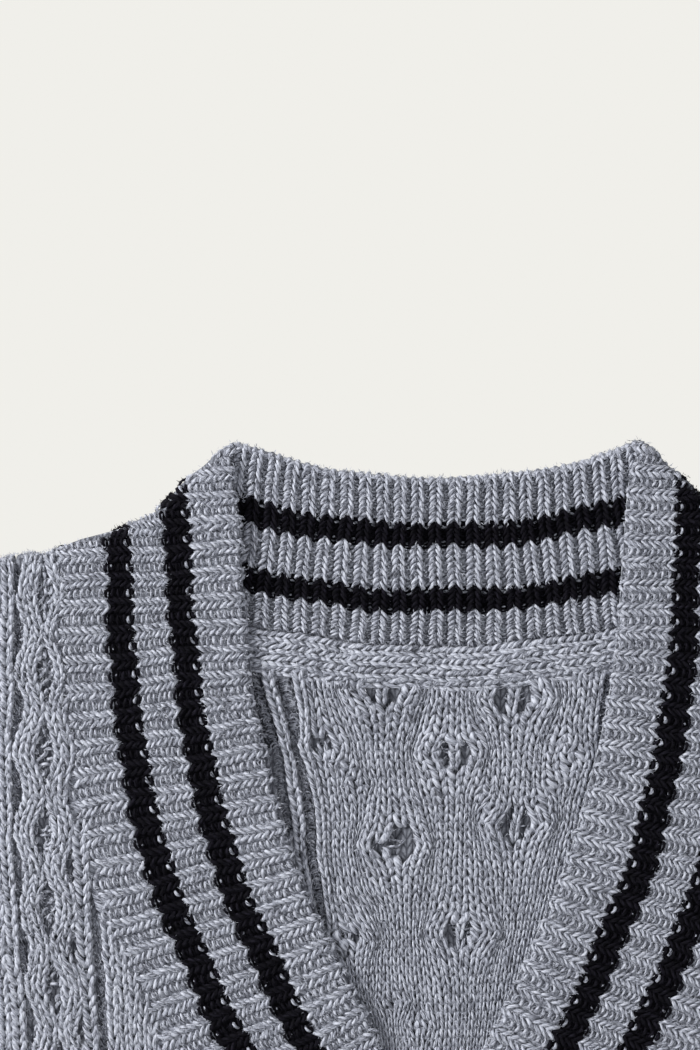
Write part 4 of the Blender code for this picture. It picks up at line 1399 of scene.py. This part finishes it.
def body_patch():
    """Patch of the whole front, which goes round the side folds and down."""
    base_s = np.arange(len(COLUMN_LINES) + OUTER, dtype=float)
    s_half = np.concatenate([base_s, base_s[-1] + 0.5 * np.arange(1, 2 * WRAPS + 1)])
    s = np.concatenate([-s_half[:0:-1], s_half])
    c = np.arange(-1.0, ROWS + 4.0)
    y = HEM_SEAM + c * COURSE
    side_line = smooth(SIDE, 4.0)
    side_out = np.interp(y, side_line[::-1, 1], side_line[::-1, 0])
    points = np.zeros((len(s), len(c), 3))
    for i, value in enumerate(s):
        k = abs(value)
        way = -1.0 if value < 0 else 1.0
        if k <= len(COLUMN_LINES) - 1:
            x = np.full(len(y), np.interp(k, np.arange(len(COLUMN_LINES)), COLUMN_LINES))
        else:
            share = min((k - (len(COLUMN_LINES) - 1)) / OUTER, 1.0)
            x = COLUMN_LINES[-1] + share * (side_out - SIDE_REACH - COLUMN_LINES[-1])
        past = max(k - base_s[-1], 0.0)
        angle = min(past * WRAP_WALE / WRAP_RADIUS, WRAP_END)
        if past > 0:
            x = side_out - SIDE_REACH + SIDE_REACH * math.sin(angle)
        points[i, :, 0] = way * x + leaning(way * x, y)
        points[i, :, 1] = y
        flat = points[i, :, :2].copy()
        flat[:, 0] = way * np.minimum(np.abs(flat[:, 0]), side_out - SIDE_REACH)
        z = top_of(flat, True, PANEL_WALL, folded=False)
        if past > 0:
            z = z - SIDE_DROP * (1 - math.cos(angle))
        points[i, :, 2] = z
    grid = points.reshape(-1, 3)
    near_top = grid[:, 1] > FOLD_TOP
    shoulder_fold = rounded(nearest(grid[near_top][:, :2], FOLDS[:2]), FOLD_ROUND)
    grid[near_top, 2] -= shoulder_fold * (PANEL_WALL - LEAST_EDGE)
    p, z = fold_over(grid[near_top][:, :2], grid[near_top][:, 2])
    grid[near_top, :2] = p
    grid[near_top, 2] = z
    return Patch(s, c, grid.reshape(points.shape))


def strand_out(height):
    """Distance of a strand's middle from the cable's middle."""
    turn = 0.5 + 0.5 * np.cos(2 * math.pi * (height - CABLE_EYE) / CABLE_PITCH)
    return CABLE_SHUT + (CABLE_OPEN - CABLE_SHUT) * turn


STRAND_RISE, STRAND_SINK = 1.5, 0.35  # of its middle, and of its edges
STRAND_ROUND = 1.12  # its section's half width, as a share of its own
CALM_FROM, CALM_REACH, CALM = 340.0, 25.0, 0.45  # strands lie flatter towards the shoulder


def strand_patch(side, way):
    """One strand of a chain cable: two knit columns wide, and rounded."""
    c = np.arange(-1.0, ROWS + 4.0, 0.5)
    y = HEM_SEAM + c * COURSE
    middle = side * CABLE_OUT + way * strand_out(y)
    s = np.linspace(0.0, 2.0, 9)
    calm = 1.0 - CALM * np.clip((y - CALM_FROM) / CALM_REACH, 0.0, 1.0)
    points = []
    for k in s:
        across = k - 1.0
        x = middle + across * STRAND_HALF
        flat = np.stack([x + leaning(x, y), y], axis=1)
        z = top_of(flat, True, PANEL_WALL, folded=False)
        high = flat[:, 1] > FOLD_TOP
        drop = np.zeros(len(z))
        drop[high] = rounded(nearest(flat[high], FOLDS[:2]), FOLD_ROUND)
        bow = math.sqrt(max(1.0 - (across / STRAND_ROUND) ** 2, 0.0))
        rise = STRAND_RISE * bow - STRAND_SINK
        z = z + rise * calm * (1 - drop) - drop * (PANEL_WALL - LEAST_EDGE)
        flat, z = fold_over(flat, z)
        points.append(raised(flat, z))
    return Patch(s, c, points)


body = body_patch()
outline = body_outline()
IN_VIEW = 160.0  # fine stitches above this height
VIEW_LEFT, VIEW_RIGHT = -202.0, 130.0  # and between these
FRONT_LIFT, FRONT_LOOSE = 0.3, 0.7
GROUND_LIFT, GROUND_LOOSE = -0.2, 1.6
GROUND_PLACES = ((0.0, 0.4), (0.5, 0.9))  # bumps of each cell, aside and ahead
# the front's sunken furrows: their legs and cloth are darkened as painted shade
FURROW_LEG = {"lift": -1.7, "loose": 1.0, "shade": -6.0}
FRONT_FURROW_CLOTH = {"sink": 1.3, "tone": -8.0, "striped": False, "turned": False}
POCKET_OUT, POCKET_HALF = 162.6, 2.4  # the bare hollow beside each crossing of a cable
POCKET_DROP, POCKET_REACH = 1.0, 5.0
half = len(COLUMN_LINES) - 1 + OUTER + 2
grid_s, grid_c = np.meshgrid(np.arange(-half, half) + 0.5, np.arange(0.0, ROWS), indexing="ij")
grid_s, grid_c = grid_s.ravel(), grid_c.ravel()
at, _ = body.at(grid_s, grid_c + 0.5)
number = np.floor(np.abs(grid_s)).astype(int)
wrapped = number >= len(COLUMN_LINES) - 1 + OUTER
in_body = inside(at[:, :2], outline) | (wrapped & (at[:, 1] < SIDE[0][1]) & (at[:, 1] > HEM_SEAM))
furrow_cell = np.isin(number, FURROWS)
cable_cell = np.isin(number, CABLE_GROUND)
wide = number == WIDE
plain = ~furrow_cell & ~cable_cell & ~wide
close = (at[:, 1] > IN_VIEW) & (at[:, 0] < VIEW_RIGHT) & (at[:, 0] > VIEW_LEFT)
column = np.abs(at[:, 0] - leaning(at[:, 0], at[:, 1]))
beside_cable = np.abs(column - POCKET_OUT) < POCKET_HALF
for crossing in CABLE_EYE + CABLE_PITCH * (np.arange(-18, 5) + 0.5):
    cable_cell &= ~(beside_cable & (np.abs(at[:, 1] - crossing + POCKET_DROP) < POCKET_REACH))
fine = variants(knit, WALE, COURSE, 2.2, lean=0.26, reach=1.3, foot=0.12, start=0.34, **FINE_YARN)
coarse = knit(WALE, COURSE, 2.6, lean=0.31, **COARSE_YARN)
fine_wide = variants(knit, 7.8, COURSE, 2.5, lean=0.32, reach=1.25, start=0.3, **FINE_YARN)
coarse_wide = knit(7.8, COURSE, 3.2, lean=0.30, **COARSE_YARN)
ground = variants(bump, 0.8 * WALE, COURSE, 1.5, arch=0.12, wale=WALE, spin=3.1)
furrow_leg = variants(knit, 2.6, COURSE, 1.1, lean=0.2, reach=1.3, foot=0.0, start=0.32)
coarse_ground = bump(1.15 * WALE, COURSE, 2.0, arch=0.12, rings=3, sides=3, wale=WALE)
fine_strand = variants(
    knit, STRAND_HALF, COURSE, 1.8, lean=0.30, reach=1.25, foot=0.09, start=0.3, **FINE_YARN
)
coarse_strand = knit(STRAND_HALF, COURSE, 2.4, lean=0.28, **COARSE_YARN)
front_pieces = {}
for name, low, high in (("left", -99, -16), ("middle", -16, 16), ("right", 16, 99)):
    made = Stitches("front_panel_stitches_" + name)
    part = in_body & (grid_s > low) & (grid_s < high)
    for shape, pick in (
        (fine, close & plain),
        (coarse, ~close & plain),
        (fine_wide, close & wide),
        (coarse_wide, ~close & wide),
    ):
        chosen = part & pick
        made.add(body, shape, grid_s[chosen], grid_c[chosen], FRONT_LIFT, loose=FRONT_LOOSE)
    for shape, pick in ((ground, close), (coarse_ground, ~close)):
        s, c = grid_s[part & pick & cable_cell], grid_c[part & pick & cable_cell]
        for aside, ahead in GROUND_PLACES:
            made.add(body, shape, s + aside, c + ahead, GROUND_LIFT, loose=GROUND_LOOSE)
    chosen = part & furrow_cell & close
    made.add(body, furrow_leg, grid_s[chosen], grid_c[chosen], **FURROW_LEG)
    for cell in FURROWS:
        last = grid_c[part & (number == cell)].max(initial=-1.0)
        for edge in (cell, -cell - 1):
            if low < edge < high:
                made.lay(body, edge, edge + 1, last=last, **FRONT_FURROW_CLOTH)
    front_pieces[name] = made
for side, name in ((-1, "left"), (1, "right")):
    for way in (-1, 1):
        strand = strand_patch(side, way)
        c = np.arange(0.0, ROWS)
        for k in (0.5, 1.5):
            at, _ = strand.at(np.full(len(c), k), c + 0.5)
            ok = inside(at[:, :2], outline)
            high = (at[:, 1] > IN_VIEW) & (side < 0)
            for shape, pick in ((fine_strand, ok & high), (coarse_strand, ok & ~high)):
                s = np.full(pick.sum(), k)
                front_pieces[name].add(strand, shape, s, c[pick], FRONT_LIFT, loose=FRONT_LOOSE)


# --- Armhole bands and hem ----------------------------------------------------------------


ARMHOLE_COURSES, ARMHOLE_COURSE = 8, 2.9
ARMHOLE_RIB = 9.3
HEM_COURSES, HEM_COURSE = 21, 3.35
HEM_RIB = 11.5
HEM_HEAD_AT = 0.3
EDGE_LIFTS = (0.6, 0.0, 0.0)
EDGE_SHARE = 0.55  # of a rib's pitch that its knit column takes


def armhole_patch(side):
    """Patch of an armhole band's front half: ribs run from its seam to its free edge."""
    ribs = ARMHOLE_RIBS * 4
    edge = at_steps(smooth(mirrored(ARMHOLE_EDGE, side), 2.0), ribs)
    seam_points = at_steps(smooth(mirrored(ARMHOLE_SEAM, side), 2.0), ribs)
    c = np.arange(-2.0, ARMHOLE_COURSES + 3)
    points = []
    for a, b in zip(edge, seam_points):
        length = np.linalg.norm(b - a)
        into, down = round_edge(c * (length + 1.5) / (ARMHOLE_COURSES + 1.0), EDGE_ROUND)
        p = a + (b - a) / length * into[:, None]
        z = top_of(p, True, RIB_TOP) - down
        points.append(raised(p, z))
    return Patch(np.arange(ribs + 1) / 4.0, c, points)


def hem_patch():
    """Patch of the front hem rib, from its free edge up to its seam."""
    s = np.arange(0.0, HEM_RIBS + 0.01, 0.25)
    c = np.arange(-2.0, HEM_COURSES + 2)
    deep = HEM_SEAM - HEM_EDGE
    points = []
    for at in 2.0 * s / HEM_RIBS - 1.0:
        into, down = round_edge(c * (deep + 1.5) / HEM_COURSES, EDGE_ROUND)
        x = at * (HEM_FOOT + (SIDE[-1][0] - HEM_FOOT) * into / deep)
        p = np.stack([x, HEM_EDGE + into], axis=1)
        z = top_of(p, True, RIB_TOP) - down
        points.append(raised(p, z))
    return Patch(s, c, points)


edge_pieces = {}
for side, name in ((-1, "left"), (1, "right")):
    made = Stitches("armhole_stitches_" + name)
    v = knit(5.0, ARMHOLE_COURSE, 2.3, rings=4, sides=3, plies=1)
    shapes = {
        "knit": across_pitch(v, EDGE_SHARE),
        "head": bump(3.9, ARMHOLE_COURSE, 1.3, rings=4, sides=3, wale=ARMHOLE_RIB),
    }
    courses, ribs = np.arange(-1.0, ARMHOLE_COURSES), range(ARMHOLE_RIBS)
    rib(made, armhole_patch(side), ribs, courses, lambda s: (-1, ARMHOLE_COURSES), shapes, EDGE_LIFTS)
    edge_pieces["armhole_band_" + name] = made
made = Stitches("hem_stitches")
hem = hem_patch()
v = across_pitch(knit(6.2, HEM_COURSE, 2.6, rings=4, sides=3, plies=1), EDGE_SHARE)
head = bump(4.8, HEM_COURSE, 1.4, rings=4, sides=3, wale=HEM_RIB)
c = np.arange(-1.0, HEM_COURSES)
for k in range(HEM_RIBS):
    made.add(hem, v, np.full(len(c), k + 0.5), c, EDGE_LIFTS[0])
    made.add(hem, head, np.full(len(c), float(k)), c + HEM_HEAD_AT, EDGE_LIFTS[1])
edge_pieces["hem"] = made


# --- Cloth behind the yarn ----------------------------------------------------------------


WELD = 0.005  # mm within which corners are one
THINNEST = 0.45  # the cloth keeps at least this share of its wall
FACING_UP = 0.35


def cloth(node):
    """Thin cloth on a node's form, its upper side a little lower, under its stitches, and drawn dark
    there as painted shade.
    """
    bm = bmesh.new()
    bm.from_mesh(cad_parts[node].data)
    bmesh.ops.remove_doubles(bm, verts=bm.verts, dist=WELD * MM)
    bmesh.ops.recalc_face_normals(bm, faces=bm.faces)
    points = np.array([v.co for v in bm.verts]) / MM
    p = points[:, :2]
    front = "front" in node
    under = FRONT_REST + swell(p) if front else UNDER_RISE * rounded(nearest(p, FOLDS), UNDER_ROUND)
    thick = points[:, 2] - under
    upper = thick > 0.5
    wall = np.minimum(thick, PANEL_WALL)
    points[upper, 2] = (under + np.maximum(wall - SINK, THINNEST * wall))[upper]
    for vert, co in zip(bm.verts, points * MM):
        vert.co = co
    # Faces that look up take the dark cloth, as painted shade under the stitches; the others take the
    # plain outside.
    for face in bm.faces:
        face.material_index = 0 if face.normal.z > FACING_UP else 1
    mesh = bpy.data.meshes.new(node + "_cloth")
    bm.to_mesh(mesh)
    bm.free()
    for material in (behind, outside):
        mesh.materials.append(material)
    obj = add_object(node + "_cloth", mesh)
    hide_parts(node)
    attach(obj, "root")
    return obj


clothes = {node: cloth(node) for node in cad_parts}

UPRIGHT = math.pi / 2
SLOPING = 0.25
VIEW = (-200.0, 124.0, 166.0, 445.0)  # x and y of what the camera sees
INSIDE = (-95.0, 95.0, 166.0, 352.0)  # and of the back's inside
FUZZ = (  # stitches, number of hairs, window, way they lie
    (inner_stitches, 20000, INSIDE, UPRIGHT),
    (band_pieces["left"], 28000, VIEW, -SLOPING),
    (band_pieces["right"], 18000, VIEW, SLOPING),
    (band_pieces["back"], 16000, VIEW, UPRIGHT),
    (front_pieces["left"], 20000, VIEW, UPRIGHT),
)
for stitches, count, window, lie in FUZZ:
    stitches.fuzz(count, window, lie)
pieces = [*band_pieces.values(), *front_pieces.values(), *edge_pieces.values(), inner_stitches]
yarn_pieces = {stitches.name: stitches.make(YARNS) for stitches in pieces}
for obj in yarn_pieces.values():
    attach(obj, "root")
for name, obj in (*yarn_pieces.items(), *clothes.items()):
    "body_knit" if "panel" in name else "rib_knit"


def flat_area(obj):
    """Half the surface of a thin closed piece."""
    return sum(face.area for face in obj.data.polygons) / 2


SHEETS = {  # node: flat width and length of its cut, its stitches, the node it rests on
    "back_panel": ((0.528, 0.765), ["back_panel_stitches"], []),
    "front_panel": (
        (0.528, 0.765),
        ["front_panel_stitches_left", "front_panel_stitches_middle", "front_panel_stitches_right"],
        ["back_panel"],
    ),
    "neckband_back": ((0.335, 0.082), ["neckband_stitches_back"], []),
    "neckband_front_left": ((0.46, 0.088), ["neckband_stitches_front_left"], ["back_panel"]),
    "neckband_front_right": ((0.46, 0.088), ["neckband_stitches_front_right"], ["back_panel"]),
    "armhole_band_left_back": ((0.245, 0.026), [], []),
    "armhole_band_right_back": ((0.245, 0.026), [], []),
    "armhole_band_left_front": (
        (0.245, 0.026), ["armhole_stitches_left"], ["armhole_band_left_back"]
    ),
    "armhole_band_right_front": (
        (0.245, 0.026), ["armhole_stitches_right"], ["armhole_band_right_back"]
    ),
    "hem_rib_back": ((0.528, 0.07), [], []),
    "hem_rib_front": ((0.528, 0.07), ["hem_stitches"], ["hem_rib_back"]),
}
for node, (flat, with_pieces, under) in SHEETS.items():
    obj = clothes[node]
    area = min(flat_area(obj), flat[0] * flat[1])


# --- Camera, light and floor --------------------------------------------------------------

LENS = 100.0
SENSOR = 36.0  # the camera's film, along the picture's longer side
VIEW_HEIGHT = 0.462  # metres that the picture's longer side shows
VIEW_MIDDLE = (-0.0381, 0.4037)
SURFACE = 0.008  # height of the knit that this holds for

camera_data = bpy.data.cameras.new("camera")
camera_data.lens = LENS
camera_data.sensor_width = SENSOR
camera = add_object("camera", camera_data)
camera.location = (*VIEW_MIDDLE, VIEW_HEIGHT * LENS / SENSOR + SURFACE)
bpy.context.scene.camera = camera

floor_mesh = bpy.data.meshes.new("floor")
floor_mesh.from_pydata([(-6, -6, 0), (6, -6, 0), (6, 6, 0), (-6, 6, 0)], [], [(0, 1, 2, 3)])
floor = add_object("floor", floor_mesh)
floor.location = (0.0, 0.0, -0.0004)
paper = Nodes("floor_paper")
glow = paper.new("Emission", {"Color": (0.871, 0.863, 0.823, 1.0), "Strength": 1.0})
out = paper.tree.nodes["Material Output"]
paper.tree.links.new(glow.outputs[0], out.inputs["Surface"])
floor_mesh.materials.append(paper.material)


def lamp(name, size, place, aim, energy):
    """A square soft lamp that shines from a place at a point."""
    data = bpy.data.lights.new(name, "AREA")
    data.shape = "SQUARE"
    data.size = size
    data.energy = energy
    obj = add_object(name, data)
    way = np.array(aim, float) - np.array(place, float)
    obj.location = place
    obj.rotation_euler = Vector(way).to_track_quat("-Z", "Y").to_euler()


lamp("key_lamp", size=0.7, place=(-1.8, 1.1, 1.15), aim=(-0.05, 0.25, 0.0), energy=80.5)
lamp("fill_lamp", size=2.5, place=(1.2, -0.8, 2.2), aim=(0.0, 0.2, 0.0), energy=26.0)
world = bpy.data.worlds.new("world")
world.use_nodes = True
world.node_tree.nodes["Background"].inputs[0].default_value = (0.93, 0.95, 1.0, 1.0)
world.node_tree.nodes["Background"].inputs[1].default_value = 0.5
bpy.context.scene.world = world
bpy.context.scene.view_settings.view_transform = "Standard"
